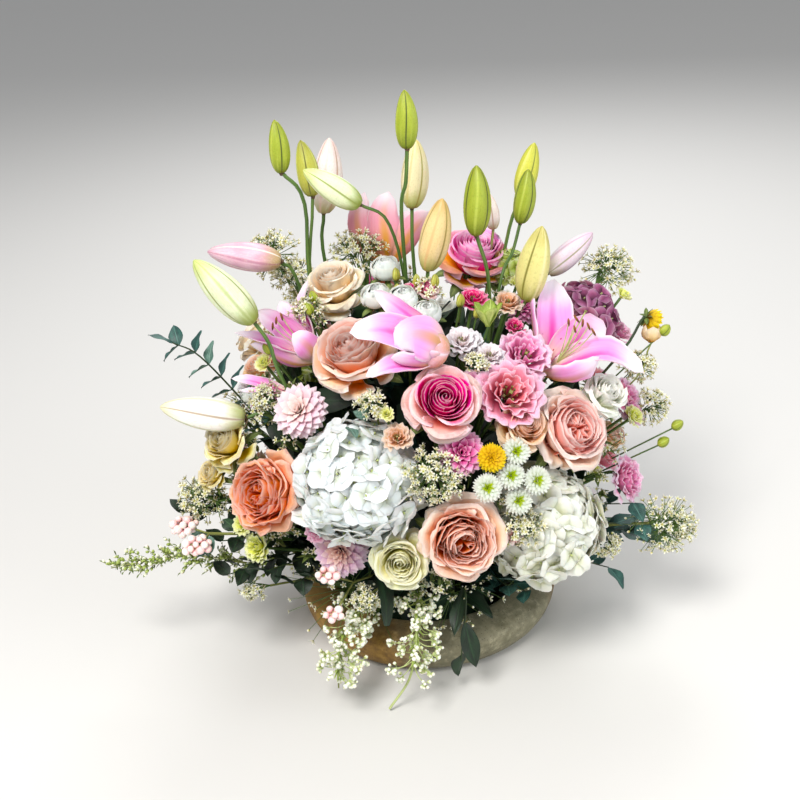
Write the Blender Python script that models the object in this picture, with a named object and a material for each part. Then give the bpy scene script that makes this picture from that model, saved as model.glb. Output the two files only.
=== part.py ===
"""A table centerpiece: cut flowers in floral foam, in a low stoneware bowl.

Metres, +Z up. The origin is the centre of the bowl's base, on the table. The front is towards -Y.
Every bloom is one solid with its stem, and the stem stands in its own hole in the foam.
"""

import math

import bmesh
import bpy
from mathutils import Vector

# Bowl: a squat ring-shaped body that curls in to its opening.
BOWL_RADIUS = 0.159
BOWL_HEIGHT = 0.055
BOWL_FOOT_RADIUS = 0.126
BOWL_OPENING_RADIUS = 0.119
BOWL_WALL = 0.006
BOWL_SIDES = 40
SHOULDER_SHARE = 0.45  # the bowl is widest at this share of its height
LIP_WALL = 0.001  # the wall thickens towards the lip, which is this much thicker than the wall
HEEL_WALL = 0.008  # and the hollow starts this much inside the foot's edge

# Foam: a soaked round block that rises above the bowl's rim.
FOAM_RADIUS = 0.095
FOAM_TOP = 0.100
FOAM_BEVEL = 0.018
FOAM_BEVEL_BULGE = 0.30  # the bevel's middle edge lies this share of the bevel in from both faces
FOAM_SIDES = 24

GAP = 0.0003  # between two pieces that touch
SAME_POINT = 1e-6  # points nearer than this are one point
STEM_STRAIGHT = 0.050  # straight stretch at a stem's cut end
ROOT_SHARE = 0.34  # a stem's cut end lies this share of the way out to its bloom
ROOT_LIMIT = 0.070  # and never further from the middle than this
ROOT_HEIGHTS = [(40, 0.070), (25, 0.055), (-90, 0.042)]  # cut end's height for a bloom above each lift
HOLE_PAST_STRAIGHT = 0.010  # a hole in the foam runs this much past the straight stretch
CURVE_PULL = 0.35  # how strongly a stem's curve follows its two ends, as a share of its length
CURVE_STEPS = 3
NECK = 0.004  # a stem turns into its head this far below it
SPRAY_STEM = 1.6  # a spray's main stem is this many times as thick as its branches
BUD_BRANCH = 0.85  # a bud's side stalk is this many times as thick as the main stem
BRANCH_BELOW = 0.006  # a spray's branch starts this far below its fork, inside the main stem
BRANCH_LEAVES = 0.04  # and is clear of the fork after this share of its way
STALK_BELOW = 0.004  # a bud's side stalk starts this far below the end of the main stem's path
STALK_LEAVES = 0.003  # and leaves it this far on towards its bud

# The flowers and their foam stand a little off the bowl's middle. Their places are counted from here.
MIDDLE = Vector((-0.006, 0.004, 0.0))
HEART = MIDDLE + Vector((0.0, 0.0, 0.060))  # turn, lift and reach are counted from here
AIM = MIDDLE + Vector((0.0, 0.0, 0.160))  # blooms look away from this point

# Shape of each kind of head. The profile runs from the stem to the face, in shares of depth and radius.
KINDS = {
    "rose": {
        "sides": 8, "lobes": 4, "wave": 0.03, "depth": 1.10, "stem": 0.0026,
        "profile": [(0.0, 0.20), (0.16, 0.62), (0.45, 0.95), (0.76, 1.0), (1.0, 0.62)],
    },
    "hydrangea": {
        "sides": 10, "lobes": 5, "wave": 0.04, "depth": 1.25, "stem": 0.0030,
        "profile": [(0.0, 0.10), (0.14, 0.55), (0.40, 0.92), (0.66, 1.0), (0.86, 0.78), (1.0, 0.40)],
    },
    "dahlia": {
        "sides": 8, "lobes": 4, "wave": 0.02, "depth": 1.15, "stem": 0.0022,
        "profile": [(0.0, 0.15), (0.14, 0.66), (0.42, 1.0), (0.74, 0.92), (1.0, 0.42)],
    },
    "lisianthus": {
        "sides": 8, "lobes": 4, "wave": 0.05, "depth": 0.95, "stem": 0.0020,
        "profile": [(0.0, 0.16), (0.30, 0.46), (0.68, 0.90), (1.0, 0.92)],
    },
    "lily": {
        "sides": 12, "lobes": 6, "wave": 0.22, "depth": 1.55, "stem": 0.0028,
        "profile": [(0.0, 0.10), (0.35, 0.22), (0.72, 0.55), (1.0, 0.82)],
    },
    "button": {
        "sides": 6, "lobes": 3, "wave": 0.0, "depth": 0.80, "stem": 0.0012,
        "profile": [(0.0, 0.20), (0.30, 0.85), (0.70, 1.0), (1.0, 0.66)],
    },
    "cluster": {
        "sides": 6, "lobes": 3, "wave": 0.08, "depth": 1.30, "stem": 0.0017,
        "profile": [(0.0, 0.10), (0.40, 0.62), (0.78, 1.0), (1.0, 0.70)],
    },
    "bud": {
        "sides": 6, "lobes": 3, "wave": 0.06, "depth": 5.2, "stem": 0.0026,
        "profile": [(0.0, 0.30), (0.10, 0.72), (0.34, 1.0), (0.62, 0.82), (0.86, 0.42), (1.0, 0.12)],
    },
}

OLIVE = (0.30, 0.34, 0.14)

# One bloom to a stem. The face's place is turn and lift in degrees and reach in metres; turn 0 is the front
# and 90 the right. "face" turns the bloom its own way, as turn and lift. "root" gives its stem its own cut
# end, counted from MIDDLE.
BLOOMS = {
    "rose_hot_pink": {"kind": "rose", "at": (9, 59, 0.370), "radius": 0.033, "colour": (0.80, 0.10, 0.30)},
    "rose_peach_open": {
        "kind": "rose", "at": (10, 36, 0.285), "radius": 0.037, "colour": (0.86, 0.48, 0.36)},
    "rose_blush": {"kind": "rose", "at": (47, 48, 0.345), "radius": 0.036, "colour": (0.87, 0.56, 0.44)},
    "rose_apricot": {"kind": "rose", "at": (-29, 69, 0.380), "radius": 0.036, "colour": (0.89, 0.46, 0.26)},
    "rose_cream": {"kind": "rose", "at": (-84, 78, 0.390), "radius": 0.028, "colour": (0.88, 0.66, 0.42)},
    "rose_two_tone": {
        "kind": "rose", "at": (128, 75, 0.400), "radius": 0.033, "colour": (0.85, 0.32, 0.45)},
    "rose_coral": {"kind": "rose", "at": (-46, 42, 0.325), "radius": 0.034, "colour": (0.87, 0.26, 0.14)},
    "rose_pale_lime": {
        "kind": "rose", "at": (-7, 33, 0.262), "radius": 0.028, "colour": (0.80, 0.84, 0.52)},
    "rose_small_peach": {
        "kind": "rose", "at": (38, 54, 0.326), "radius": 0.020, "colour": (0.88, 0.60, 0.42)},
    "rose_back_peach": {
        "kind": "rose", "at": (128, 50, 0.360), "radius": 0.036, "colour": (0.88, 0.52, 0.36)},
    "rose_back_pink": {
        "kind": "rose", "at": (-168, 58, 0.360), "radius": 0.036, "colour": (0.83, 0.30, 0.42)},
    "rose_back_cream": {
        "kind": "rose", "at": (-118, 53, 0.355), "radius": 0.034, "colour": (0.88, 0.72, 0.52)},
    "hydrangea_white_left": {
        "kind": "hydrangea", "at": (-18.5, 47, 0.322), "radius": 0.059, "colour": (0.86, 0.88, 0.84)},
    "hydrangea_white_right": {
        "kind": "hydrangea", "at": (42, 31, 0.272), "radius": 0.054, "colour": (0.86, 0.86, 0.76),
        "root": (0.044, -0.052, 0.045)},
    "hydrangea_mauve": {
        "kind": "hydrangea", "at": (94, 57, 0.372), "radius": 0.036, "colour": (0.36, 0.13, 0.20)},
    "hydrangea_back_white": {
        "kind": "hydrangea", "at": (162, 38, 0.300), "radius": 0.058, "colour": (0.86, 0.88, 0.82)},
    "hydrangea_back_lime": {
        "kind": "hydrangea", "at": (-142, 36, 0.292), "radius": 0.054, "colour": (0.55, 0.66, 0.26)},
    "dahlia_blush": {
        "kind": "dahlia", "at": (-41, 57, 0.362), "radius": 0.028, "colour": (0.88, 0.58, 0.60)},
    "dahlia_mauve": {
        "kind": "dahlia", "at": (14, 51, 0.326), "radius": 0.019, "colour": (0.72, 0.28, 0.46)},
    "dahlia_lilac": {
        "kind": "dahlia", "at": (-28, 31, 0.246), "radius": 0.026, "colour": (0.82, 0.48, 0.55)},
    "lily_open_right": {
        "kind": "lily", "at": (55, 58, 0.410), "radius": 0.054, "face": (62, 34),
"colour": (0.88, 0.45, 0.66)},
    "lily_half_open": {
        "kind": "lily", "at": (-15, 67, 0.428), "radius": 0.036, "face": (-72, 14),
"colour": (0.87, 0.42, 0.60)},
    "lily_open_left": {
        "kind": "lily", "at": (-63, 64, 0.400), "radius": 0.039, "face": (-70, 40),
"colour": (0.88, 0.48, 0.58)},
    "lily_open_back": {
        "kind": "lily", "at": (-172, 75, 0.436), "radius": 0.048, "face": (-170, 66),
"colour": (0.80, 0.36, 0.40)},
    "lisianthus_pink_upper": {
        "kind": "lisianthus", "at": (43, 64, 0.378), "radius": 0.025, "colour": (0.84, 0.36, 0.55)},
    "lisianthus_pink_lower": {
        "kind": "lisianthus", "at": (31, 58, 0.362), "radius": 0.029, "colour": (0.84, 0.38, 0.52)},
    "lisianthus_blush": {
        "kind": "lisianthus", "at": (27, 69, 0.374), "radius": 0.021, "colour": (0.88, 0.72, 0.74)},
    "lisianthus_right_low": {
        "kind": "lisianthus", "at": (72, 31, 0.300), "radius": 0.023, "colour": (0.84, 0.42, 0.54)},
    "lisianthus_right_high": {
        "kind": "lisianthus", "at": (79, 43, 0.345), "radius": 0.023, "colour": (0.86, 0.62, 0.74)},
    "lisianthus_back": {
        "kind": "lisianthus", "at": (152, 62, 0.362), "radius": 0.028, "colour": (0.84, 0.42, 0.56)},
    "filler_centre": {"kind": "cluster", "at": (4, 49, 0.326), "radius": 0.021, "colour": OLIVE},
    "filler_top_left": {"kind": "cluster", "at": (-114, 67, 0.436), "radius": 0.026, "colour": OLIVE},
    "filler_top_right": {"kind": "cluster", "at": (107, 53, 0.436), "radius": 0.025, "colour": OLIVE},
    "filler_right_low": {"kind": "cluster", "at": (70, 16, 0.330), "radius": 0.028, "colour": OLIVE},
    "filler_left_low": {"kind": "cluster", "at": (-72, 31, 0.310), "radius": 0.026, "colour": OLIVE},
    "filler_back": {"kind": "cluster", "at": (-170, 22, 0.255), "radius": 0.028, "colour": OLIVE},
    "snowberry_left": {
        "kind": "cluster", "at": (-63, 25, 0.330), "radius": 0.024, "colour": (0.86, 0.62, 0.60)},
}

# Stems that carry several heads from one fork, with the same three numbers for the fork and for each head.
SPRAYS = {
    "button_mum_spray": {
        "kind": "button", "fork": (22, 45, 0.235), "radius": 0.0125, "colour": (0.86, 0.88, 0.76),
        "heads": [(27, 49, 0.342), (24, 45.5, 0.332), (30, 43, 0.334), (17, 44.5, 0.330), (25, 41, 0.318),
                  (19.5, 49, 0.344)],
    },
    "lisianthus_white_spray": {
        "kind": "lisianthus", "fork": (-8, 76, 0.300), "radius": 0.0150, "colour": (0.88, 0.89, 0.84),
        "heads": [(-48, 86, 0.398), (-26, 79, 0.392), (-3, 77, 0.398), (10, 74, 0.392)],
    },
}

# Lily stems: the path of the stem as a short list of points, then each bud as its tip and its base. A second
# bud leaves the stem at the point numbered "from". The points are counted from MIDDLE.
LILY_GREEN = (0.36, 0.42, 0.06)
LILY_CREAM = (0.84, 0.76, 0.48)
LILY_STEMS = {
    "lily_stem_left": {
        "path": [(-0.028, 0.006, 0.070), (-0.045, 0.004, 0.150), (-0.104, 0.012, 0.400),
                 (-0.097, 0.0, 0.513)],
        "buds": [((-0.127, 0.0, 0.624), (-0.125, 0.0, 0.568)),
                 ((-0.102, 0.002, 0.600), (-0.094, 0.0, 0.540))],
        "from": 3, "colour": LILY_GREEN,
    },
    "lily_stem_centre": {
        "path": [(0.006, 0.006, 0.070), (0.006, 0.004, 0.150), (0.002, -0.010, 0.400),
                 (-0.002, -0.018, 0.488)],
        "buds": [((0.011, -0.020, 0.650), (0.011, -0.020, 0.590)),
                 ((-0.098, -0.050, 0.582), (-0.044, -0.034, 0.537))],
        "from": 3, "colour": LILY_GREEN,
    },
    "lily_stem_right": {
        "path": [(0.030, -0.014, 0.070), (0.040, -0.019, 0.150), (0.082, -0.048, 0.340),
                 (0.092, -0.050, 0.415)],
        "buds": [((0.080, -0.050, 0.574), (0.078, -0.050, 0.500)),
                 ((0.140, 0.0, 0.552), (0.131, 0.0, 0.493))],
        "from": 3, "colour": LILY_GREEN,
    },
    "lily_bud_rear_left": {
        "path": [(-0.034, 0.022, 0.070), (-0.050, 0.032, 0.150), (-0.090, 0.058, 0.430)],
        "buds": [((-0.074, 0.060, 0.586), (-0.087, 0.060, 0.502))], "colour": (0.86, 0.66, 0.66),
    },
    "lily_bud_rear_centre": {
        "path": [(0.006, 0.026, 0.070), (0.007, 0.031, 0.150), (0.012, 0.048, 0.400)],
        "buds": [((0.021, 0.056, 0.580), (0.014, 0.055, 0.502))], "colour": LILY_CREAM,
    },
    "lily_bud_front_centre": {
        "path": [(0.012, -0.018, 0.070), (0.014, -0.024, 0.150), (0.019, -0.046, 0.400)],
        "buds": [((0.043, -0.060, 0.544), (0.025, -0.050, 0.465))], "colour": LILY_CREAM,
    },
    "lily_bud_rear_right": {
        "path": [(0.040, 0.022, 0.070), (0.056, 0.028, 0.150), (0.118, 0.056, 0.440)],
        "buds": [((0.156, 0.062, 0.564), (0.138, 0.054, 0.505))], "colour": (0.66, 0.62, 0.12),
    },
    "lily_bud_front_right": {
        "path": [(0.046, -0.020, 0.070), (0.058, -0.024, 0.150), (0.112, -0.050, 0.380)],
        "buds": [((0.145, -0.070, 0.510), (0.130, -0.060, 0.426))], "colour": LILY_CREAM,
    },
    "lily_bud_far_right": {
        "path": [(0.056, 0.016, 0.070), (0.072, 0.022, 0.150), (0.140, 0.048, 0.370)],
        "buds": [((0.222, 0.060, 0.454), (0.168, 0.052, 0.412))], "colour": (0.80, 0.70, 0.78),
    },
    "lily_bud_left_pink": {
        "path": [(-0.050, 0.006, 0.070), (-0.070, 0.010, 0.150), (-0.118, 0.018, 0.420)],
        "buds": [((-0.216, 0.002, 0.484), (-0.138, 0.010, 0.464))], "colour": (0.80, 0.46, 0.58),
    },
    "lily_bud_left_white": {
        "path": [(-0.046, -0.026, 0.070), (-0.070, -0.050, 0.150), (-0.134, -0.116, 0.366)],
        "buds": [((-0.212, -0.116, 0.516), (-0.161, -0.112, 0.444))], "colour": (0.84, 0.84, 0.66),
    },
    "lily_bud_left_low": {
        "path": [(-0.056, -0.030, 0.070), (-0.074, -0.042, 0.150), (-0.150, -0.096, 0.316)],
        "buds": [((-0.272, -0.110, 0.352), (-0.185, -0.102, 0.328))], "colour": (0.86, 0.84, 0.80),
    },
}

# Trailing stems and leaves: points of the path, counted from MIDDLE, and the half width and half thickness
# at each point.
TRAILS = {
    "trailing_left": {
        "path": [(-0.069, -0.008, 0.054), (-0.130, -0.036, 0.084), (-0.210, -0.070, 0.118),
                 (-0.270, -0.082, 0.142),
                 (-0.330, -0.086, 0.140), (-0.366, -0.088, 0.136)],
        "size": [(0.0017, 0.0017), (0.0017, 0.0017), (0.0030, 0.0030), (0.024, 0.012), (0.018, 0.010),
                 (0.003, 0.003)],
        "colour": OLIVE,
    },
    "trailing_front_left": {
        "path": [(-0.019, -0.067, 0.050), (-0.046, -0.120, 0.088), (-0.086, -0.178, 0.108),
                 (-0.098, -0.204, 0.092),
                 (-0.104, -0.208, 0.060), (-0.106, -0.206, 0.034)],
        "size": [(0.0017, 0.0017), (0.0017, 0.0017), (0.010, 0.008), (0.018, 0.010), (0.024, 0.012),
                 (0.012, 0.006)],
        "colour": (0.80, 0.82, 0.66),
    },
    "trailing_front_right": {
        "path": [(0.002, -0.069, 0.046), (-0.004, -0.122, 0.094), (-0.012, -0.180, 0.120),
                 (-0.016, -0.206, 0.092),
                 (-0.026, -0.208, 0.042), (-0.051, -0.212, 0.004)],
        "size": [(0.0017, 0.0017), (0.0017, 0.0017), (0.008, 0.006), (0.018, 0.010), (0.016, 0.009),
                 (0.0018, 0.0018)],
        "colour": (0.80, 0.82, 0.66),
    },
    "eucalyptus_left": {
        "path": [(-0.062, 0.008, 0.070), (-0.120, 0.004, 0.170), (-0.190, -0.022, 0.300),
                 (-0.236, -0.030, 0.372),
                 (-0.264, -0.032, 0.392)],
        "size": [(0.0018, 0.0018), (0.0018, 0.0018), (0.0018, 0.0018), (0.020, 0.004), (0.006, 0.003)],
        "colour": (0.10, 0.18, 0.09),
    },
    "ruscus_front": {
        "path": [(0.025, -0.064, 0.050), (0.032, -0.116, 0.094), (0.042, -0.166, 0.126),
                 (0.040, -0.188, 0.104),
                 (0.036, -0.192, 0.076), (0.033, -0.194, 0.050)],
        "size": [(0.0017, 0.0017), (0.0017, 0.0017), (0.010, 0.003), (0.018, 0.004), (0.014, 0.003),
                 (0.002, 0.002)],
        "colour": (0.04, 0.12, 0.05),
    },
    "leaf_right": {
        "path": [(0.069, -0.006, 0.050), (0.132, -0.032, 0.084), (0.200, -0.062, 0.116),
                 (0.236, -0.074, 0.130),
                 (0.262, -0.082, 0.124)],
        "size": [(0.0017, 0.0017), (0.0017, 0.0017), (0.006, 0.003), (0.020, 0.004), (0.004, 0.002)],
        "colour": (0.04, 0.14, 0.12),
    },
    "leaf_back": {
        "path": [(0.036, 0.056, 0.050), (0.070, 0.112, 0.084), (0.104, 0.160, 0.108), (0.122, 0.188, 0.106),
                 (0.136, 0.208, 0.088)],
        "size": [(0.0017, 0.0017), (0.0017, 0.0017), (0.008, 0.003), (0.022, 0.004), (0.004, 0.002)],
        "colour": (0.05, 0.13, 0.06),
    },
}


def clear_scene():
    for obj in list(bpy.data.objects):
        bpy.data.objects.remove(obj, do_unlink=True)


def material(name, colour, roughness=0.6):
    mat = bpy.data.materials.new(name)
    mat.use_nodes = True
    shader = mat.node_tree.nodes["Principled BSDF"]
    shader.inputs["Base Color"].default_value = (*colour, 1.0)
    shader.inputs["Roughness"].default_value = roughness
    shader.inputs["Metallic"].default_value = 0.0
    return mat


def new_object(name, bm, colour, roughness=0.6):
    """Puts a finished bmesh in the scene as one named sub-part with its own material."""
    bmesh.ops.recalc_face_normals(bm, faces=bm.faces)
    mesh = bpy.data.meshes.new(name)
    bm.to_mesh(mesh)
    bm.free()
    mesh.materials.append(material(name, colour, roughness))
    mesh.shade_smooth()
    obj = bpy.data.objects.new(name, mesh)
    bpy.context.scene.collection.objects.link(obj)
    return obj


def hide_helper(obj):
    obj.hide_render = True
    obj.display_type = "WIRE"


def add_boolean(target, helper, operation):
    hide_helper(helper)
    boolean = target.modifiers.new(operation.lower(), "BOOLEAN")
    boolean.operation = operation
    boolean.object = helper


def turned(profile, sides):
    """A closed body turned about Z from a profile of (radius, height) that starts and ends on the axis."""
    bm = bmesh.new()
    verts = [bm.verts.new((radius, 0.0, height)) for radius, height in profile]
    edges = [bm.edges.new(pair) for pair in zip(verts, verts[1:])]
    bmesh.ops.spin(
        bm, geom=verts + edges, cent=(0, 0, 0), axis=(0, 0, 1), angle=math.tau, steps=sides, use_merge=True)
    bmesh.ops.remove_doubles(bm, verts=bm.verts, dist=SAME_POINT)
    return bm


def direction(turn, lift):
    turn, lift = math.radians(turn), math.radians(lift)
    return Vector((math.cos(lift) * math.sin(turn), -math.cos(lift) * math.cos(turn), math.sin(lift)))


def place(turn, lift, reach):
    return HEART + direction(turn, lift) * reach


def frames(points):
    """A tangent and a side vector at each point of a path. The side vector is carried along without twist."""
    result, side = [], None
    for i, point in enumerate(points):
        before, after = points[max(i - 1, 0)], points[min(i + 1, len(points) - 1)]
        tangent = (after - before).normalized()
        if side is None:
            side = tangent.cross(Vector((0.0, 0.0, 1.0)))
            if side.length < 0.2:
                side = tangent.cross(Vector((0.0, 1.0, 0.0)))
        side = (side - tangent * side.dot(tangent)).normalized()
        result.append((point, side, tangent.cross(side)))
    return result


def add_loft(bm, points, sizes, sides, lobes=0, wave=0.0, head_from=0):
    """Rings of the given half width and half thickness along a path, bridged and closed at both ends.

    From the ring numbered head_from on, each ring swells and shrinks by wave, once for each lobe.
    """
    rings = []
    for i, ((centre, side, up), (width, thickness)) in enumerate(zip(frames(points), sizes)):
        ring = []
        for k in range(sides):
            angle = math.tau * k / sides
            swell = 1.0 + (wave * math.cos(lobes * angle) if i >= head_from else 0.0)
            offset = side * (width * swell * math.cos(angle)) + up * (thickness * swell * math.sin(angle))
            ring.append(bm.verts.new(centre + offset))
        rings.append(ring)
    for low, high in zip(rings, rings[1:]):
        for k in range(sides):
            bm.faces.new((low[k], low[(k + 1) % sides], high[(k + 1) % sides], high[k]))
    bm.faces.new(list(reversed(rings[0])))
    bm.faces.new(rings[-1])


def bezier(start, start_way, end, end_way, steps):
    """Points on a smooth curve from start to end, without the start itself."""
    pull = CURVE_PULL * (end - start).length
    a, b = start + start_way * pull, end - end_way * pull
    points = []
    for i in range(1, steps + 1):
        t = i / steps
        s = 1.0 - t
        points.append(start * s**3 + a * (3 * s * s * t) + b * (3 * s * t * t) + end * t**3)
    return points


def head_rings(kind, face, facing, radius):
    """Ring centres and sizes of a head whose middle of the face is at face."""
    shape = KINDS[kind]
    depth = shape["depth"] * radius
    base = face - facing * depth
    points = [base + facing * (depth * along) for along, _ in shape["profile"]]
    sizes = [(radius * share, radius * share) for _, share in shape["profile"]]
    return points, sizes


def add_stemmed_head(bm, kind, start, face, facing, radius, stem_radius):
    """A stem that begins with the points in start, and its head, as one loft."""
    shape = KINDS[kind]
    head_points, head_sizes = head_rings(kind, face, facing, radius)
    way = (start[-1] - start[-2]).normalized()
    stem = list(start) + bezier(start[-1], way, head_points[0] - facing * NECK, facing, CURVE_STEPS)
    sizes = [(stem_radius, stem_radius)] * len(stem) + head_sizes
    add_loft(
        bm, stem + head_points, sizes, shape["sides"], shape["lobes"], shape["wave"], head_from=len(stem))


def add_hole(bm, start, radius):
    """A six-sided hole whose flats clear a stem by the gap, from below its cut end to above the foam."""
    way = (start[1] - start[0]).normalized()
    points = [start[0] - way * GAP, start[0] + way * (STEM_STRAIGHT + HOLE_PAST_STRAIGHT)]
    wide = (radius + GAP) / math.cos(math.pi / 6)
    add_loft(bm, points, [(wide, wide)] * 2, 6)


def root_of(point, lift):
    """A stem's cut end. High blooms go in from the top, low ones from the side."""
    out = Vector((point.x - MIDDLE.x, point.y - MIDDLE.y, 0.0)) * ROOT_SHARE
    if out.length > ROOT_LIMIT:
        out *= ROOT_LIMIT / out.length
    height = next(height for least, height in ROOT_HEIGHTS if lift > least)
    return MIDDLE + Vector((out.x, out.y, height))


def make_bowl():
    """Flat foot, round shoulder, rim curled in, and the same line again inside at one wall's distance."""
    outer = [(0.0, 0.0), (BOWL_FOOT_RADIUS, 0.0)]
    shoulder = BOWL_HEIGHT * SHOULDER_SHARE
    belly = BOWL_RADIUS - BOWL_FOOT_RADIUS
    for i in range(1, 5):
        angle = math.radians(22.5 * i)
        outer.append((BOWL_FOOT_RADIUS + belly * math.sin(angle), shoulder * (1.0 - math.cos(angle))))
    curl = BOWL_RADIUS - BOWL_OPENING_RADIUS
    rise = BOWL_HEIGHT - shoulder
    for i in range(1, 6):
        angle = math.radians(18.0 * i)
        outer.append((BOWL_OPENING_RADIUS + curl * math.cos(angle), shoulder + rise * math.sin(angle)))
    inner = []
    for i in range(5, 0, -1):
        angle = math.radians(18.0 * i)
        inner.append((
            BOWL_OPENING_RADIUS - LIP_WALL + (curl - BOWL_WALL + LIP_WALL) * math.cos(angle),
            shoulder + (rise - BOWL_WALL) * math.sin(angle)))
    for i in range(4, -1, -1):
        angle = math.radians(22.5 * i)
        inner.append((
            BOWL_FOOT_RADIUS - HEEL_WALL + (belly + HEEL_WALL - BOWL_WALL) * math.sin(angle),
            BOWL_WALL + (shoulder - BOWL_WALL) * (1.0 - math.cos(angle))))
    inner.append((0.0, BOWL_WALL))
    new_object("bowl", turned(outer + inner, BOWL_SIDES), (0.32, 0.29, 0.20), 0.7)


def make_foam(holes):
    """The block stands on the bowl's floor, and every stem has its hole."""
    foot = BOWL_WALL + GAP
    bulge = FOAM_BEVEL * FOAM_BEVEL_BULGE
    profile = [
        (0.0, foot), (FOAM_RADIUS, foot), (FOAM_RADIUS, FOAM_TOP - FOAM_BEVEL),
        (FOAM_RADIUS - bulge, FOAM_TOP - bulge), (FOAM_RADIUS - FOAM_BEVEL, FOAM_TOP), (0.0, FOAM_TOP)]
    block = turned(profile, FOAM_SIDES)
    bmesh.ops.translate(block, verts=block.verts, vec=MIDDLE)
    foam = new_object("floral_foam", block, (0.03, 0.09, 0.04), 0.95)
    add_boolean(foam, new_object("stem_holes", holes, (0.5, 0.5, 0.5)), "DIFFERENCE")


def make_bloom(name, kind, at, radius, colour, holes, face=None, root=None):
    point = place(*at)
    facing = direction(*face) if face else (point - AIM).normalized()
    base = head_rings(kind, point, facing, radius)[0][0]
    root = MIDDLE + Vector(root) if root else root_of(base, at[1])
    shape = KINDS[kind]
    start = [root, root + (base - root).normalized() * STEM_STRAIGHT]
    bm = bmesh.new()
    add_stemmed_head(bm, kind, start, point, facing, radius, shape["stem"])
    add_hole(holes, start, shape["stem"])
    new_object(name, bm, colour)


def make_spray(name, kind, fork, radius, colour, heads, holes):
    """A main stem that ends in its first head, with the other heads joined on at the fork."""
    shape = KINDS[kind]
    lift, fork = fork[1], place(*fork)
    root = root_of(fork, lift)
    start = [root, root + (fork - root).normalized() * STEM_STRAIGHT]
    main_radius = shape["stem"] * SPRAY_STEM
    add_hole(holes, start, main_radius)
    bm = bmesh.new()
    add_loft(bm, start + [fork], [(main_radius, main_radius)] * 3, shape["sides"])
    spray = new_object(name, bm, colour)
    below = fork - (fork - start[1]).normalized() * BRANCH_BELOW
    for number, at in enumerate(heads, 1):
        point = place(*at)
        facing = (point - AIM).normalized()
        bm = bmesh.new()
        leaves = fork + (point - fork) * BRANCH_LEAVES
        add_stemmed_head(bm, kind, [below, leaves], point, facing, radius, shape["stem"])
        add_boolean(spray, new_object(f"{name}_branch_{number}", bm, colour), "UNION")


def make_lily_stem(name, path, buds, colour, holes, **branching):
    """A lily stem with one or two buds. The second bud's stalk is joined on where it leaves the stem."""
    shape = KINDS["bud"]
    points = [MIDDLE + Vector(point) for point in path]
    stem_radius = shape["stem"]
    add_hole(holes, points[:2], stem_radius)
    stem = None
    for number, (tip, base) in enumerate(buds):
        tip, base = MIDDLE + Vector(tip), MIDDLE + Vector(base)
        facing = (tip - base).normalized()
        radius = (tip - base).length / shape["depth"]
        start = list(points)
        if number:
            leave = points[branching["from"]]
            before = points[branching["from"] - 1]
            start = [
                leave - (leave - before).normalized() * STALK_BELOW,
                leave + (base - leave).normalized() * STALK_LEAVES]
        bm = bmesh.new()
        add_stemmed_head(bm, "bud", start, tip, facing, radius, stem_radius * (BUD_BRANCH if number else 1.0))
        if number:
            add_boolean(stem, new_object(f"{name}_branch", bm, colour), "UNION")
        else:
            stem = new_object(name, bm, colour)


def make_trail(name, path, size, colour, holes):
    points = [MIDDLE + Vector(point) for point in path]
    bm = bmesh.new()
    add_loft(bm, points, size, 8)
    add_hole(holes, points[:2], size[0][0])
    new_object(name, bm, colour)


def main():
    clear_scene()
    holes = bmesh.new()
    for name, bloom in BLOOMS.items():
        make_bloom(name, holes=holes, **bloom)
    for name, spray in SPRAYS.items():
        make_spray(name, holes=holes, **spray)
    for name, lily in LILY_STEMS.items():
        make_lily_stem(name, holes=holes, **lily)
    for name, trail in TRAILS.items():
        make_trail(name, holes=holes, **trail)
    make_foam(holes)
    make_bowl()


main()
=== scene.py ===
# Looks of the floral table centerpiece: petals, leaves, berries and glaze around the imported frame.
from math import acos, asin, ceil, cos, degrees, dist, pi, radians, sin, sqrt

import bpy
import numpy as np
from mathutils import Matrix, Vector


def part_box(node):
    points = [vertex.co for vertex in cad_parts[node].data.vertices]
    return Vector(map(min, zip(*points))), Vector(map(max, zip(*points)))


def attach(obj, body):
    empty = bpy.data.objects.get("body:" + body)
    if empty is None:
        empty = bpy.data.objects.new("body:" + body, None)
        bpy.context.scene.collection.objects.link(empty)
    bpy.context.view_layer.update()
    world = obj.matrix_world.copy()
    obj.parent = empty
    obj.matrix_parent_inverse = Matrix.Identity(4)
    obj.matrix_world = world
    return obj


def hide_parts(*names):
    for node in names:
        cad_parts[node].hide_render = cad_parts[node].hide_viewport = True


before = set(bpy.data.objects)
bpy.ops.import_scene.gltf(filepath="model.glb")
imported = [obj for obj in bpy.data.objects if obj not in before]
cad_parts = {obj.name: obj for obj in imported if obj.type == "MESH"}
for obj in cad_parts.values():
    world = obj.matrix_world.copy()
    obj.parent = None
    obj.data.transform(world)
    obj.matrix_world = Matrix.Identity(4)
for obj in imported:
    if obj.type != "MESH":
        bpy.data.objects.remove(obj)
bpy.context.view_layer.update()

bpy.ops.object.select_all(action="DESELECT")
goldenTurn = pi * (3 - sqrt(5))
print("frame loaded:", len(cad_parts), "nodes")


# ---- camera, light and floor
studio = {
    "aim": (-0.021, 0.004, 0.285), "distance": 1.40, "lookDown": 26.5, "roll": -4.0, "lens": 53.37,
    "key": {"at": (-0.7, -1.5, 2.3), "size": 0.9, "watts": 73, "tint": (1.0, 0.98, 0.95)},
    "fill": {"at": (1.8, -1.0, 1.1), "size": 1.4, "watts": 20, "tint": (0.95, 0.98, 1.0)},
    "back": {"at": (0.4, 1.9, 1.9), "size": 1.2, "watts": 30, "tint": (1.0, 1.0, 1.0)},
    "sky": (0.93, 0.95, 0.98), "skyStrength": 0.42, "floor": (0.68, 0.67, 0.65),
}


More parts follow.
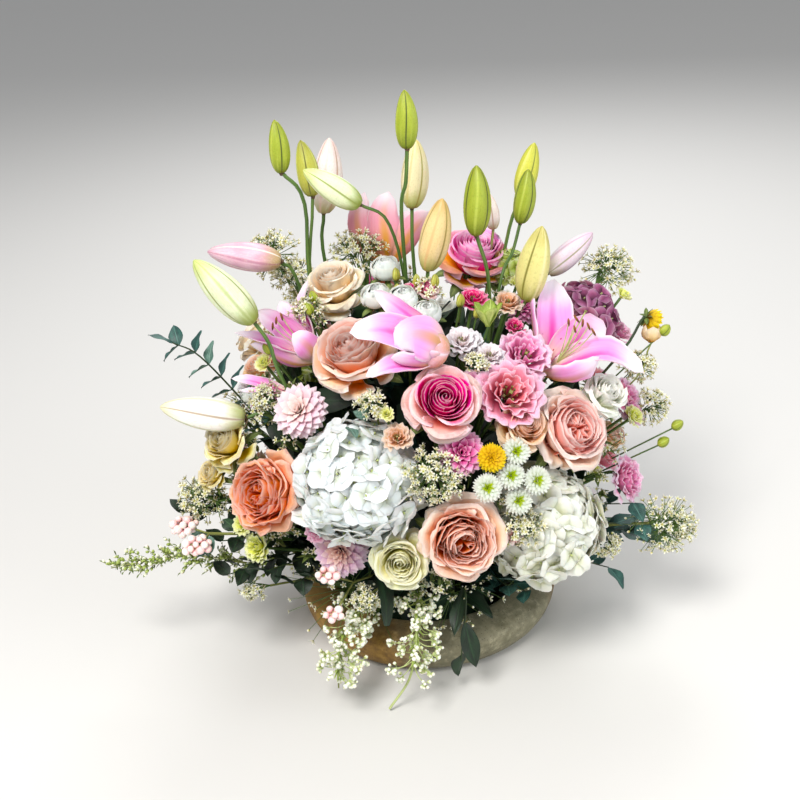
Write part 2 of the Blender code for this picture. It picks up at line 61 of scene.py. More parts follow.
def setStudio():
    data = bpy.data.cameras.new("camera")
    data.lens = studio["lens"]
    data.clip_start, data.clip_end = 0.05, 30
    camera = bpy.data.objects.new("camera", data)
    bpy.context.scene.collection.objects.link(camera)
    turned = Matrix.Rotation(radians(90 - studio["lookDown"]), 4, "X")
    turned = turned @ Matrix.Rotation(radians(studio["roll"]), 4, "Z")
    backwards = turned @ Vector((0, 0, studio["distance"]))
    camera.matrix_world = Matrix.Translation(Vector(studio["aim"]) + backwards) @ turned
    bpy.context.scene.camera = camera
    for name in ("key", "fill", "back"):
        lamp = bpy.data.lights.new(name, "AREA")
        lamp.energy, lamp.size, lamp.color = studio[name]["watts"], studio[name]["size"], studio[name]["tint"]
        obj = bpy.data.objects.new(name, lamp)
        obj.location = studio[name]["at"]
        obj.rotation_euler = (Vector(studio["aim"]) - obj.location).to_track_quat("-Z", "Y").to_euler()
        bpy.context.scene.collection.objects.link(obj)
    world = bpy.data.worlds.new("studio")
    world.use_nodes = True
    sky = world.node_tree.nodes["Background"]
    sky.inputs["Color"].default_value = (*studio["sky"], 1)
    sky.inputs["Strength"].default_value = studio["skyStrength"]
    bpy.context.scene.world = world
    bpy.context.scene.view_settings.view_transform = "Standard"
    bpy.ops.mesh.primitive_plane_add(size=14, location=(0, 2, 0))
    floor = bpy.context.object
    floor.name = "floor"
    paint = bpy.data.materials.new("paleFloor")
    paint.use_nodes = True
    paint.node_tree.nodes["Principled BSDF"].inputs["Base Color"].default_value = (*studio["floor"], 1)
    paint.node_tree.nodes["Principled BSDF"].inputs["Roughness"].default_value = 0.9
    floor.data.materials.append(paint)
    floor.select_set(False)


setStudio()
print("studio set")


# ---- reading the frame: where each stem stands and where its blooms sit
foamLow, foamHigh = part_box("floral_foam")
foamReach = (foamHigh.x - foamLow.x) / 2
holeDepth = 0.012  # a stem's end lies at least this far below the top of the foam
# the hub is the middle of the foam on the table; long stems spread from the heart above it
hub = np.array([(foamLow.x + foamHigh.x) / 2, (foamLow.y + foamHigh.y) / 2, 0.0])
heart = hub + (0, 0, foamHigh.z * 0.6)


def inFoam(point):
    return dist(point[:2], hub[:2]) < foamReach and point[2] < foamHigh.z - holeDepth


def weldedNode(name):
    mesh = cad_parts[name].data
    corners = np.array([v.co[:] for v in mesh.vertices])
    _, first, back = np.unique(np.round(corners * 1e5), axis=0, return_index=True, return_inverse=True)
    faces = back.reshape(-1)[np.array([p.vertices[:] for p in mesh.polygons])]
    return corners[first], faces


def flatCaps(points, faces):
    # groups of four or more joined triangles in one plane, with the way each group faces
    normals = np.cross(points[faces[:, 1]] - points[faces[:, 0]], points[faces[:, 2]] - points[faces[:, 0]])
    normals /= np.linalg.norm(normals, axis=1)[:, None] + 1e-30
    group = list(range(len(faces)))

    def head(i):
        while group[i] != i:
            i = group[i]
        return i

    owner = {}
    for i, face in enumerate(faces):
        for a, b in ((0, 1), (1, 2), (2, 0)):
            edge = tuple(sorted((face[a], face[b])))
            if edge in owner and normals[owner[edge]] @ normals[i] > 0.99999:
                group[head(i)] = head(owner[edge])
            owner[edge] = i
    caps = {}
    for i in range(len(faces)):
        caps.setdefault(head(i), []).append(i)
    return [(set(faces[found].ravel()), normals[found[0]]) for found in caps.values() if len(found) >= 4]


def walkRings(name):
    # from each flat end of the node: the way it faces, and the middle and mean radius of each ring
    points, faces = weldedNode(name)
    near = {}
    for face in faces:
        for corner in face:
            near.setdefault(corner, set()).update(face)
    walks = []
    for cap, way in flatCaps(points, faces):
        seen, level, rings = set(cap), cap, []
        while len(level) == len(cap):
            ring = points[list(level)]
            middle = ring.mean(axis=0)
            rings.append((middle, float(np.linalg.norm(ring - middle, axis=1).mean())))
            level = set().union(*(near[corner] for corner in level)) - seen
            seen |= level
        walks.append((way, rings))
    return walks


def readNode(name):
    # the node's heads from the highest down, each with its face, base, axis, radius and the line of its stem
    heads, root = [], []
    for way, rings in walkRings(name):
        if inFoam(rings[0][0]) and abs(way[2]) > 0.3 and len(rings) >= len(root):
            root = rings
        elif len(rings) >= 5 and not inFoam(rings[0][0]):
            heads.append((way, rings))
    heads.sort(key=lambda found: -found[1][0][0][2])
    result = []
    for way, rings in heads:
        stemRadius = rings[-1][1]
        widest = max(range(len(rings)), key=lambda i: rings[i][1])
        narrow = [i for i, ring in enumerate(rings) if i > widest and ring[1] < stemRadius * 1.1]
        count = narrow[0] if narrow else len(rings)
        stem = [ring[0] for ring in reversed(rings[count:])]
        if stem and not inFoam(stem[0]):
            stem = [ring[0] for ring in root] + stem
        result.append({
            "face": rings[0][0], "base": rings[max(count - 1, 0)][0], "axis": way,
            "radius": max(ring[1] for ring in rings[:max(count, 1)]), "stem": stem, "stemRadius": stemRadius})
    return result


def readTrail(name):
    # the middle line of a trailing node, from its root to its tip
    line = [middle for middle, _ in max((rings for _, rings in walkRings(name)), key=len)]
    return line if inFoam(line[0]) else line[::-1]


# ---- numbers and vectors
def smooth(low, high, x):
    t = np.clip((x - low) / (high - low), 0, 1)
    return t * t * (3 - 2 * t)


def blend(a, b, t):
    return a + (b - a) * t


def unit(v):
    v = np.asarray(v, float)
    return v / (np.linalg.norm(v) + 1e-12)


def away(turn, lift):
    # turn 0 is the front and 90 the right, lift is above the table, both in degrees
    turn, lift = radians(turn), radians(lift)
    return np.array([cos(lift) * sin(turn), -cos(lift) * cos(turn), sin(lift)])


def fromPole(polar, turn):
    # a direction that leans by polar from +Z and is turned about it, both in radians
    return np.array([sin(polar) * cos(turn), sin(polar) * sin(turn), cos(polar)])


def turnedBy(turn, out, side, z):
    # points at a distance out along a turned direction, to its side, and at height z
    c, s = cos(turn), sin(turn)
    return np.stack([out * c - side * s, out * s + side * c, z], 1)


def matrixOf(x, y, z, at):
    placed = np.eye(4)
    placed[:3] = np.stack([x, y, z, at], 1)
    return placed


def scaleOf(placed):
    return np.linalg.norm(placed[:3, 0])


def placedPoint(placed, point):
    return placed[:3, :3] @ np.asarray(point, float) + placed[:3, 3]


def stand(base, axis, scale=1.0, spin=0.0):
    # a 4x4 that puts a bloom built along +Z at base, facing axis, with its own +Y towards the top
    axis = unit(axis)
    up = np.array([0.0, 0.0, 1.0]) if abs(axis[2]) < 0.98 else np.array([0.0, 1.0, 0.0])
    side = unit(np.cross(up, axis))
    up = np.cross(axis, side)
    c, s = cos(radians(spin)), sin(radians(spin))
    return matrixOf((side * c + up * s) * scale, (up * c - side * s) * scale, axis * scale, base)


def flowing(points, steps=6, apart=0.0):
    # a smooth line through the points; points nearer than apart to the one before are left out
    points = np.asarray(points, float)
    if apart:
        kept = [points[0]]
        for point in points[1:-1]:
            if min(np.linalg.norm(point - kept[-1]), np.linalg.norm(point - points[-1])) > apart:
                kept.append(point)
        points = np.array(kept + [points[-1]])
    padded = np.vstack([2 * points[0] - points[1], points, 2 * points[-1] - points[-2]])
    line = []
    for i in range(1, len(padded) - 2):
        a, b, c, d = padded[i - 1:i + 3]
        for t in np.linspace(0, 1, steps, endpoint=False):
            line.append(0.5 * (2 * b + (c - a) * t + (2 * a - 5 * b + 4 * c - d) * t * t
                               + (3 * b - a - 3 * c + d) * t ** 3))
    return np.array(line + [points[-1]])


# ---- meshes: every bloom is one mesh, filled with shaped sheets, tubes and copies
def quadGrid(columns, rows):
    # the corners and faces of a grid, taken once from the grid primitive
    if (columns, rows) not in quadGrid.made:
        bpy.ops.mesh.primitive_grid_add(x_subdivisions=columns, y_subdivisions=rows, size=2)
        grid = bpy.context.object
        faces = np.array([p.vertices[:] for p in grid.data.polygons])
        across = np.array([v.co.x for v in grid.data.vertices])
        along = np.array([v.co.y for v in grid.data.vertices]) / 2 + 0.5
        bpy.data.meshes.remove(grid.data)
        quadGrid.made[columns, rows] = (across, along, faces)
    return quadGrid.made[columns, rows]


quadGrid.made = {}


def tubeFaces(rings, sides):
    # the quads between rings of corners, and fans from the two last corners that close the ends
    low = np.arange((rings - 1) * sides).reshape(-1, sides)
    after = np.roll(low, -1, axis=1)
    ring = np.arange(sides)
    end = ring + (rings - 1) * sides
    first = np.full(sides, rings * sides)
    caps = [np.stack([first, np.roll(ring, -1), ring], 1), np.stack([first + 1, end, np.roll(end, -1)], 1)]
    return [np.stack([low, after, after + sides, low + sides], 2).reshape(-1, 4), np.vstack(caps)]


making = {"patternSpread": 50,  # how far apart the patterns of two petals may lie
          "smoothAngle": 62, "tableGap": 0.0006}


class Pile:
    # gathers the corners, faces and surface values of one piece
    def __init__(self, name, chance, detail=1.0, crowd=1.0):
        # detail scales how finely each sheet is divided, crowd how many petals a rose has
        self.name, self.chance, self.detail, self.crowd = name, chance, detail, crowd
        self.points, self.place, self.tone, self.map, self.cell = [], [], [], [], []
        self.faces, self.slots, self.looks = [], [], []
        self.count, self.cells = 0, 0
        self.at = np.eye(4)

    def slotOf(self, look):
        if look not in self.looks:
            self.looks.append(look)
        return self.looks.index(look)

    def add(self, points, faces, look, place, tone, mapped, placed=None):
        # faces is a list of arrays of triangles or quads; mapped is each corner's place on the bake's map
        placed = self.at if placed is None else self.at @ placed
        points = points @ placed[:3, :3].T + placed[:3, 3]
        if np.linalg.det(placed[:3, :3]) < 0:
            faces = [found[:, ::-1] for found in faces]
        self.points.append(points)
        self.place.append(place)
        self.tone.append(np.broadcast_to(tone, (len(points), 3)))
        self.map.append(np.clip(mapped, 0, 1))
        self.cell.append(np.full(len(points), self.cells))
        for found in faces:
            self.faces.append(found + self.count)
            self.slots.append(np.full(len(found), self.slotOf(look)))
        self.count += len(points)
        self.cells += 1

    def sheet(self, shape, grid, thickness, look, tint=0.0, layer=0.0, placed=None):
        # a petal or leaf: shape(u, v) gives points, u from -1 to 1 across and v from 0 to 1 along;
        # it gets a top and a bottom that meet in a thin edge
        columns, rows = (max(2, round(count * self.detail)) for count in grid)
        u, v, quads = quadGrid(columns, rows)
        middle = shape(u, v)
        net = middle.reshape(rows + 1, columns + 1, 3)
        normal = np.cross(np.gradient(net, axis=1), np.gradient(net, axis=0)).reshape(-1, 3)
        normal /= np.linalg.norm(normal, axis=1)[:, None] + 1e-12
        edge = (np.abs(u) > 0.999) | (v < 0.001) | (v > 0.999)
        half = thickness / 2 * (1 - 0.5 * v)[:, None] * (~edge)[:, None]
        top = middle + normal * half
        inner = np.flatnonzero(~edge)
        below = np.arange(len(u))
        below[inner] = len(u) + np.arange(len(inner))
        points = np.vstack([top, (middle - normal * half)[inner]])
        both = np.concatenate([np.arange(len(u)), inner])
        chance = self.chance.uniform(0, making["patternSpread"])
        place = np.stack([u[both], v[both], np.full(len(both), chance)], 1)
        side = np.where(edge, 0.5, 0.0)[both]
        side[len(u):] = 1.0
        tone = np.stack([np.full(len(both), tint), np.full(len(both), layer), side], 1)
        mapped = np.stack([u[both] * 0.5 + 0.5, v[both]], 1)
        self.add(points, [quads, below[quads][:, ::-1]], look, place, tone, mapped, placed)

    def tube(self, path, radii, sides, look, tint=0.0):
        path = np.asarray(path, float)
        radii = np.broadcast_to(np.asarray(radii, float), (len(path),))
        tangent = np.gradient(path, axis=0)
        tangent /= np.linalg.norm(tangent, axis=1)[:, None] + 1e-12
        side = np.cross(tangent[0], (0, 0, 1.0))
        if np.linalg.norm(side) < 0.2:
            side = np.cross(tangent[0], (0, 1.0, 0))
        rings = []
        turn = np.arange(sides) * 2 * pi / sides
        for point, way, radius in zip(path, tangent, radii):
            side = unit(side - way * (side @ way))
            up = np.cross(way, side)
            rings.append(point + radius * (np.cos(turn)[:, None] * side + np.sin(turn)[:, None] * up))
        points = np.vstack(rings + [path[:1], path[-1:]])
        along = np.linspace(0, 1, len(path))
        u = np.abs(np.arange(sides) / sides * 2 - 1)
        place = np.stack([np.tile(u, len(path)), np.repeat(along, sides), np.zeros(len(path) * sides)], 1)
        place = np.vstack([place, [[0, 0, 0], [0, 1, 0]]])
        place[:, 2] = self.chance.uniform(0, making["patternSpread"])
        self.add(points, tubeFaces(len(path), sides), look, place, (tint, 0.0, 0.0), place[:, :2])

    def finish(self, slot, *stoodFor):
        # makes the piece's mesh; a piece that stands for nodes of the frame is named after the first
        points, cell = np.vstack(self.points), np.concatenate(self.cell)
        points[:, 2] = np.maximum(points[:, 2], making["tableGap"])  # what hangs lowest lies on the table
        title = self.name + "_grown" if stoodFor else self.name
        across = ceil(sqrt(self.cells))
        inset = 0.04 + 0.92 * np.vstack(self.map)
        mapped = (np.stack([cell % across, cell // across], 1) + inset) / across
        sizes = [found.shape[1] for found in self.faces for _ in range(len(found))]
        corners = np.concatenate([found.ravel() for found in self.faces])
        mesh = bpy.data.meshes.new(title)
        mesh.vertices.add(len(points))
        mesh.vertices.foreach_set("co", points.astype(np.float32).ravel())
        mesh.loops.add(len(corners))
        mesh.loops.foreach_set("vertex_index", corners.astype(np.int32))
        mesh.polygons.add(len(sizes))
        starts = np.concatenate([[0], np.cumsum(sizes)[:-1]])
        mesh.polygons.foreach_set("loop_start", starts.astype(np.int32))
        mesh.polygons.foreach_set("material_index", np.concatenate(self.slots).astype(np.int32))
        mesh.update(calc_edges=True)
        for kind, values in (("place", self.place), ("tone", self.tone)):
            layer = mesh.attributes.new(kind, "FLOAT_VECTOR", "POINT")
            layer.data.foreach_set("vector", np.vstack(values).astype(np.float32).ravel())
        bake = mesh.uv_layers.new(name="OFBake")
        bake.uv.foreach_set("vector", mapped[corners].astype(np.float32).ravel())
        for look in self.looks:
            mesh.materials.append(paints[look])
        obj = bpy.data.objects.new(title, mesh)
        bpy.context.scene.collection.objects.link(obj)
        bpy.context.view_layer.objects.active = obj
        obj.select_set(True)
        bpy.ops.object.shade_smooth_by_angle(angle=radians(making["smoothAngle"]))
        obj.select_set(False)
        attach(obj, "root")
        if stoodFor:
            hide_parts(*stoodFor)


# ---- materials: shader maths written as expressions
def ink(code):
    # a hex colour as the linear colour a shader takes
    parts = [int(code[i:i + 2], 16) / 255 for i in (0, 2, 4)]
    return tuple(c / 12.92 if c < 0.04045 else ((c + 0.055) / 1.055) ** 2.4 for c in parts) + (1.0,)


class Field:
    # a shader socket; sums, products and powers of fields add their Math nodes
    def __init__(self, tree, socket=None):
        self.tree, self.socket = tree, socket

    def node(self, kind, settings=None, values=None, output=0):
        made = self.tree.nodes.new(kind)
        for key, value in (settings or {}).items():
            setattr(made, key, value)
        for key, value in (values or {}).items():
            if isinstance(value, Field):
                self.tree.links.new(value.socket, made.inputs[key])
            else:
                made.inputs[key].default_value = value
        return Field(self.tree, made.outputs[output])

    def maths(self, operation, *values):
        return self.node("ShaderNodeMath", {"operation": operation}, dict(enumerate(values)))

    def __add__(self, other):
        return self.maths("ADD", self, other)

    def __sub__(self, other):
        return self.maths("SUBTRACT", self, other)

    def __rsub__(self, other):
        return self.maths("SUBTRACT", other, self)

    def __mul__(self, other):
        return self.maths("MULTIPLY", self, other)

    def __pow__(self, other):
        return self.maths("POWER", self, other)

    __radd__ = __add__
    __rmul__ = __mul__

    def size(self):
        return self.maths("ABSOLUTE", self)

    def between(self, low, high):
        # 0 below low and 1 above high, with a soft step
        settings = {"interpolation_type": "SMOOTHSTEP"}
        return self.node("ShaderNodeMapRange", settings, {0: self, 1: low, 2: high})

    def colours(self, first, second):
        # from the first colour to the second as this field goes from 0 to 1
        return self.node("ShaderNodeMix", {"data_type": "RGBA"}, {0: self, 6: first, 7: second}, 2)

    def split(self):
        made = self.node("ShaderNodeSeparateXYZ", {}, {0: self})
        return [Field(self.tree, out) for out in made.socket.node.outputs]

    def joined(self, x, y, z):
        return self.node("ShaderNodeCombineXYZ", {}, {0: x, 1: y, 2: z})

    def read(self, kind):
        # the three values that each corner holds: place is u, v and chance, tone is tint, layer and side
        return self.node("ShaderNodeAttribute", {"attribute_name": kind}, {}, "Vector").split()

    def inObject(self):
        return self.node("ShaderNodeTexCoord", {}, {}, "Object")

    def stretched(self, place, across, along):
        u, v, chance = place
        return self.joined(u * across, v * along, chance)

    def patches(self, place, across, along, detail=2.0, roughness=0.5):
        # noise that follows the petal or leaf
        return self.noise(self.stretched(place, across, along), 1.0, detail, roughness)

    def noise(self, vector, scale, detail=2.0, roughness=0.5):
        return self.node("ShaderNodeTexNoise", {}, {
            "Vector": vector, "Scale": scale, "Detail": detail, "Roughness": roughness})

    def cells(self, vector, scale, output=0):
        return self.node("ShaderNodeTexVoronoi", {}, {"Vector": vector, "Scale": scale}, output)

    def bump(self, height, strength, distance):
        return self.node("ShaderNodeBump", {}, {"Height": height, "Strength": strength, "Distance": distance})


paints = {}


def newPaint(title):
    paint = bpy.data.materials.new(title)
    paint.use_nodes = True
    paints[title] = paint
    return paint.node_tree.nodes["Principled BSDF"], Field(paint.node_tree)


def apply(shader, links, fixed=None):
    for key, field in links.items():
        shader.id_data.links.new(field.socket, shader.inputs[key])
    for key, value in (fixed or {}).items():
        shader.inputs[key].default_value = value


# painted shade in the creases, darker towards each petal's base: where it starts on the inner petals, where
# on the outer ones, and the share
creaseShades = {"rose": (0.84, 0.34, 0.48), "bright": (0.84, 0.20, 0.30), "soft": (0.5, 0.2, 0.4),
           "ball": (0.30, 0.20, 0.5), "ruffled": (0.50, 0.28, 0.5), "flat": (0.0, 0.0, 0.35)}
# heart, middle and rim inside the bloom; the same three on its outermost petals; edge (pale margin and
# painted rim highlight), vein and deep (painted shade in the creases, and the darker tone of some petals);
# then where the outer colours begin and end, and the kind of painted crease shade
petalColours = {
    "hotPink": ("c00848 e4307c f673a8 efa98c f8c6bc fbdcd6 ffdbe6 d42468 bc0c50", 0.58, 0.82, "rose"),
    "peach": ("f08468 fba68c ffcdbb ecb488 f7d2b8 fce4d8 ffeee6 f49a7e ee7c58", 0.50, 1.0, "rose"),
    "blush": ("ee8884 f8a8a2 fbc2bc eec09a f7dcc8 f9eadd fff0ea f0a89c e28c7c", 0.45, 0.95, "rose"),
    "apricot": ("ee8468 fbb09a ffd6c8 e6a478 f5c8a8 fce0d0 fff0ea f09c84 ee8468", 0.45, 0.9, "rose"),
    "creamRose": ("f2b898 fad2b4 fdead4 e8c690 f8e2c0 fdf2e0 fff8ec eec4a0 e2ba8a", 0.35, 0.9, "rose"),
    "twoTone": ("f45aa4 fb8cc8 ffb8e2 e8943a f9bc70 fbb8b4 ffd8f0 f272b6 f060a8", 0.70, 0.98, "bright"),
    "coral": ("e4583a fa8e70 ffb49c f0a070 fbb89c fdccba ffd6c6 f07c5e dc5430", 0.5, 1.0, "rose"),
    "limeRose": ("f0e890 f8f2b8 fdf9da ebe48c f6f2ba fcf9dc fffff0 f4eea4 e9e28a", 0.4, 0.95, "rose"),
    "smallPeach": ("c87458 eaa484 f8c8ac e0a674 f4cca4 fadfc4 fde2cf dc987c c07050", 0.4, 0.9, "rose"),
    "creamWhite": ("e8e9c0 f5f4e4 fafaf4 e2e4c0 f5f5ea fbfbf6 ffffff eaead4 dadcb4", 0.4, 0.95, "rose"),
    "pureWhite": ("dfe4b4 f4f6f0 fafcfc dce2b8 f2f5ee fafcfb ffffff e2e8da d0d8b0", 0.3, 0.9, "soft"),
    "dahliaBlush": ("f6e2cc fce6de fef2ec e0a8bc f2ccda fbeaf0 fff4f6 ecb4c8 c07c98", 0.10, 0.40, "ball"),
    "dahliaMauve": ("a83c6c e07eaa f8c0da b0507e e693ba f8c6e0 fde0ee ce6a98 8c2c58", 0.1, 0.6, "ball"),
    "dahliaLilac": ("d8a292 ecc0b2 f7d8ca c68ab0 e4b6d4 f6dcea fcecf4 cc98b8 986082", 0.12, 0.5, "ball"),
    "ruffledPink": ("b8547c f2a0c6 f9c6e0 d4749a f6b2d0 fcd8ea feecf5 e890ba c46c98", 0.2, 0.8, "ruffled"),
    "ruffledSalmon": ("9c4450 ef98a0 f7b6c0 d87886 f4aec2 f9c8de fce4ee e68aa0 b0526c", 0.2, 0.8, "ruffled"),
    "ruffledDeep": ("98183c d64c72 f07ca0 b43054 e2668e f8a8c4 fbc8da c03c64 78102e", 0.2, 0.8, "ruffled"),
    "ruffledPeach": ("bc7048 ecb494 f6d0bc d09470 f2ccb0 f9e4d4 fdeee4 deaa90 a06848", 0.2, 0.8, "ruffled"),
    "ruffledWhite": ("ccb4a4 f2e4e4 f8f0f4 dcc4be f4ecf0 fbf6fb ffffff e8d4dc b89ca4", 0.2, 0.8, "ruffled"),
    "ruffledLime": ("ccd24c ecee8a f7f8b8 d2d862 f2f4a4 f9facc fdfde2 e8ea8c b8c04a", 0.2, 0.8, "ruffled"),
    "hydrangeaWhite": ("dfe2cc f0f3f3 f8fafc d4d8be eaece0 f3f5f0 ffffff dee4e6 c0c6b4", 0.55, 1.0, "flat"),
    "hydrangeaCream": ("dcdcb8 eeede0 f6f5ec c8cca0 e4e2cc eff0e0 ffffff d8dac2 b4b696", 0.4, 1.0, "flat"),
    "hydrangeaMauve": ("4c2a3a 8e5674 b07e9a 5e3c38 8f6262 b28a84 c9a4b0 6c3858 35181f", 0.3, 0.9, "flat"),
    "hydrangeaLime": ("9aa84c c0cf78 d8e2a2 8ea048 b9c974 d3dea0 e8efc4 a4b65c 6c7f30", 0.4, 1.0, "flat"),
    "mumWhite": ("c5d28c e9eee0 f3f6ee c8d0a8 e9eee0 f5f7f2 fcfdfa d5dcc4 a3ae7c", 0.2, 0.8, "ball"),
    "mumYellow": ("d98e10 eeb81e f6cf34 c98e14 ecc030 f8dc5c fbe67e d69a18 9a6208", 0.2, 0.8, "ball"),
    "limeHeart": ("7f9c24 a6c23a c0d65a 86a02a a6c23a c6da6a d9e78a 8aa62c 5e7a18", 0.4, 0.9, "ball"),
    "creamYellow": ("dcb44c eed48a f6e6b4 d0a850 ecd690 f5eabe fdf6dc dcc068 a8842e", 0.4, 0.95, "rose"),
    "starCream": ("a8a45c e8e4c4 f7f4e4 a49c58 eae6c8 f9f6ea fffdf6 d4cca0 8a8450", 0.3, 0.9, "flat"),
    "lilyPink": ("f4dcc0 f0aadb f6cbec f0cdb2 edb4d4 f5d6ec fff8fd dd66ae cc7ca0", 0.4, 1.0, "flat"),
    "lilyDusty": ("d9a080 dca0ae ebbcc8 d8a478 dcb0a8 eccac4 f6dfe4 c0687c b46c60", 0.4, 1.0, "flat"),
}

petalFeel = {"veinSpread": 9.0, "veinShare": 0.24, "edgeFrom": 0.89, "lilyEdgeFrom": 0.64, "edgeShare": 0.80,
             "softness": 0.50, "reach": 0.004, "bleed": (1.0, 0.72, 0.62), "shine": 0.22, "vivid": 1.18,
             "roseVivid": 1.32, "lift": 0.82, "roughness": (0.50, 0.70), "bump": 0.45, "bumpDepth": 0.0005,
             "lilySpot": "a02458", "lilyRib": "c79a4a"}


def makePetalPaint(title, codes, layersFrom, layersTo, creaseKind):
    innerCrease, outerCrease, creaseShadeShare = creaseShades[creaseKind]
    heart, middle, rim, outerHeart, outerMiddle, outerRim, edge, vein, deep = map(ink, codes.split())
    lily, rosy = title.startswith("lily"), creaseKind in ("rose", "bright")
    shader, field = newPaint(title)
    place = field.read("place")
    tint, layer, side = field.read("tone")
    u, v, _ = place
    patch = field.patches(place, 1.3, 1.6, 3.0)
    along = v + (patch - 0.5) * 0.5
    inside, outside = (
        along.between(0.55, 1.0).colours(along.between(0.05, 0.60).colours(first, second), third)
        for first, second, third in ((heart, middle, rim), (outerHeart, outerMiddle, outerRim)))
    colour = (layer + (patch - 0.5) * 0.3).between(layersFrom, layersTo).colours(inside, outside)
    veins = field.patches(place, petalFeel["veinSpread"], 0.9, 3.0, 0.6)
    colour = (veins.between(0.50, 0.66) * petalFeel["veinShare"] * (1.15 - v)).colours(colour, vein)
    grain = field.patches(place, 22.0, 26.0)
    low = innerCrease + layer * (outerCrease - innerCrease)
    # painted shade: a petal darkens towards its base, starting higher up on the inner petals that lie deep in
    # the bloom
    crease = 1 - (v + (patch - 0.5) * 0.06).between(low - 0.10, low + 0.16)
    colour = (crease * creaseShadeShare).colours(colour, deep)
    # a lighter rim: the petal's pale margin, and on rolled rims a painted highlight
    rimMarginAndHighlight = field.maths("MAXIMUM", u.size() * 0.97, v + (grain - 0.5) * 0.03)
    edgeFrom = petalFeel["lilyEdgeFrom" if lily else "edgeFrom"]
    colour = (rimMarginAndHighlight.between(edgeFrom, 1.0) * petalFeel["edgeShare"]).colours(colour, edge)
    colour = (tint * 0.45).colours(colour, deep)
    if lily:  # a deep midline, raised spots inside and a golden rib on the back
        inner = 1 - side.between(0.3, 0.7)
        midline = (1 - u.size().between(0.02, 0.20)) * v.between(1.0, 0.35) * inner
        colour = (midline * 0.85).colours(colour, vein)
        spots = field.cells(field.stretched(place, 4.5, 10.0), 1.0)
        dots = (1 - spots.between(0.10, 0.20)) * v.between(0.62, 0.40) * v.between(0.08, 0.2) * inner
        colour = (dots * 0.8).colours(colour, ink(petalFeel["lilySpot"]))
        golden = (1 - u.size().between(0.04, 0.26)) * side.between(0.5, 0.9) * v.between(1.0, 0.3)
        colour = (golden * 0.75).colours(colour, ink(petalFeel["lilyRib"]))
    vivid = petalFeel["roseVivid" if rosy else "vivid"]
    colour = field.node("ShaderNodeHueSaturation", {}, {"Saturation": vivid, "Color": colour})
    if rosy:  # the tight turns of a rose are kept light
        colour = field.node("ShaderNodeGamma", {}, {"Color": colour, "Gamma": petalFeel["lift"]})
    roughLow, roughHigh = petalFeel["roughness"]
    normal = field.bump(veins * 0.8 + grain * 0.25, petalFeel["bump"], petalFeel["bumpDepth"])
    rough = roughLow + (roughHigh - roughLow) * grain
    apply(shader, {"Base Color": colour, "Roughness": rough, "Normal": normal}, {
        "Subsurface Weight": petalFeel["softness"], "Subsurface Scale": petalFeel["reach"],
        "Subsurface Radius": petalFeel["bleed"], "Specular IOR Level": petalFeel["shine"]})


for title, colours in petalColours.items():
    makePetalPaint(title, *colours)

# greens: blades with a midrib and side veins, and plain stems
greenColours = {  # blade, pale patches and ribs; roughness and how many side veins
    "darkLeaf": ("14301a 2c5228 3d6a36", 0.36, 11),
    "deepLeaf": ("0a1a0c 16301a 1e3c20", 0.45, 9),
    "tealLeaf": ("1c403c 35635a 4f7f74", 0.42, 9),
    "blueLeaf": ("46685c 6f9184 8fae9f", 0.6, 7),
    "oliveLeaf": ("4a5c26 6f8238 93a457", 0.5, 9),
    "limeLeaf": ("7d9433 a9bd55 c6d47c", 0.5, 8),
}


def makeLeafPaint(title, codes, gloss, veins):
    blade, pale, ribColour = map(ink, codes.split())
    shader, field = newPaint(title)
    place = field.read("place")
    tint, _, side = field.read("tone")
    u, v, _ = place
    patch = field.patches(place, 2.0, 3.0, 3.0)
    colour = patch.between(0.35, 0.7).colours(blade, pale)
    slant = (v - u.size() * 0.35) * (veins * 2 * pi)
    ribs = slant.maths("COSINE", slant).between(0.86, 1.0) * (1 - u.size())
    midrib = 1 - u.size().between(0.03, 0.10)
    colour = ribs.maths("MAXIMUM", ribs * 0.5, midrib * 0.8).colours(colour, ribColour)
    colour = (side.between(0.7, 1.0) * 0.5).colours(colour, ribColour)
    colour = (tint * 0.6).colours(colour, ink("0a1408"))
    grain = field.patches(place, 18.0, 40.0)
    normal = field.bump(midrib * 0.6 + ribs * 0.4 + grain * 0.15, 0.5, 0.0006)
    apply(shader, {"Base Color": colour, "Roughness": gloss + 0.2 * patch, "Normal": normal})


for title, leaf in greenColours.items():
    makeLeafPaint(title, *leaf)

stemColours = {  # dark and light streaks, and scars
    "stemGreen": "3a5a22 5c7a34 8a6a3a", "stemOlive": "6b7232 8f9450 7a5a34",
    "stemDark": "1c2c14 33481f 4a3a22", "stemPale": "9fae62 c3cf8e a8a060",
    "stemBrown": "4a3826 6e5638 2e2216",
}


def makeStemPaint(title, codes):
    dark, light, scar = map(ink, codes.split())
    shader, field = newPaint(title)
    place = field.read("place")
    tint = field.read("tone")[0]
    streak = field.patches(place, 4.0, 5.0, 3.0)
    colour = streak.between(0.35, 0.65).colours(dark, light)
    colour = (streak.between(0.62, 0.72) * 0.5).colours(colour, scar)
    colour = (tint * 0.8).colours(colour, scar)
    apply(shader, {"Base Color": colour, "Roughness": 0.45 + 0.2 * streak,
                   "Normal": field.bump(streak, 0.3, 0.0004)})


for title, codes in stemColours.items():
    makeStemPaint(title, codes)

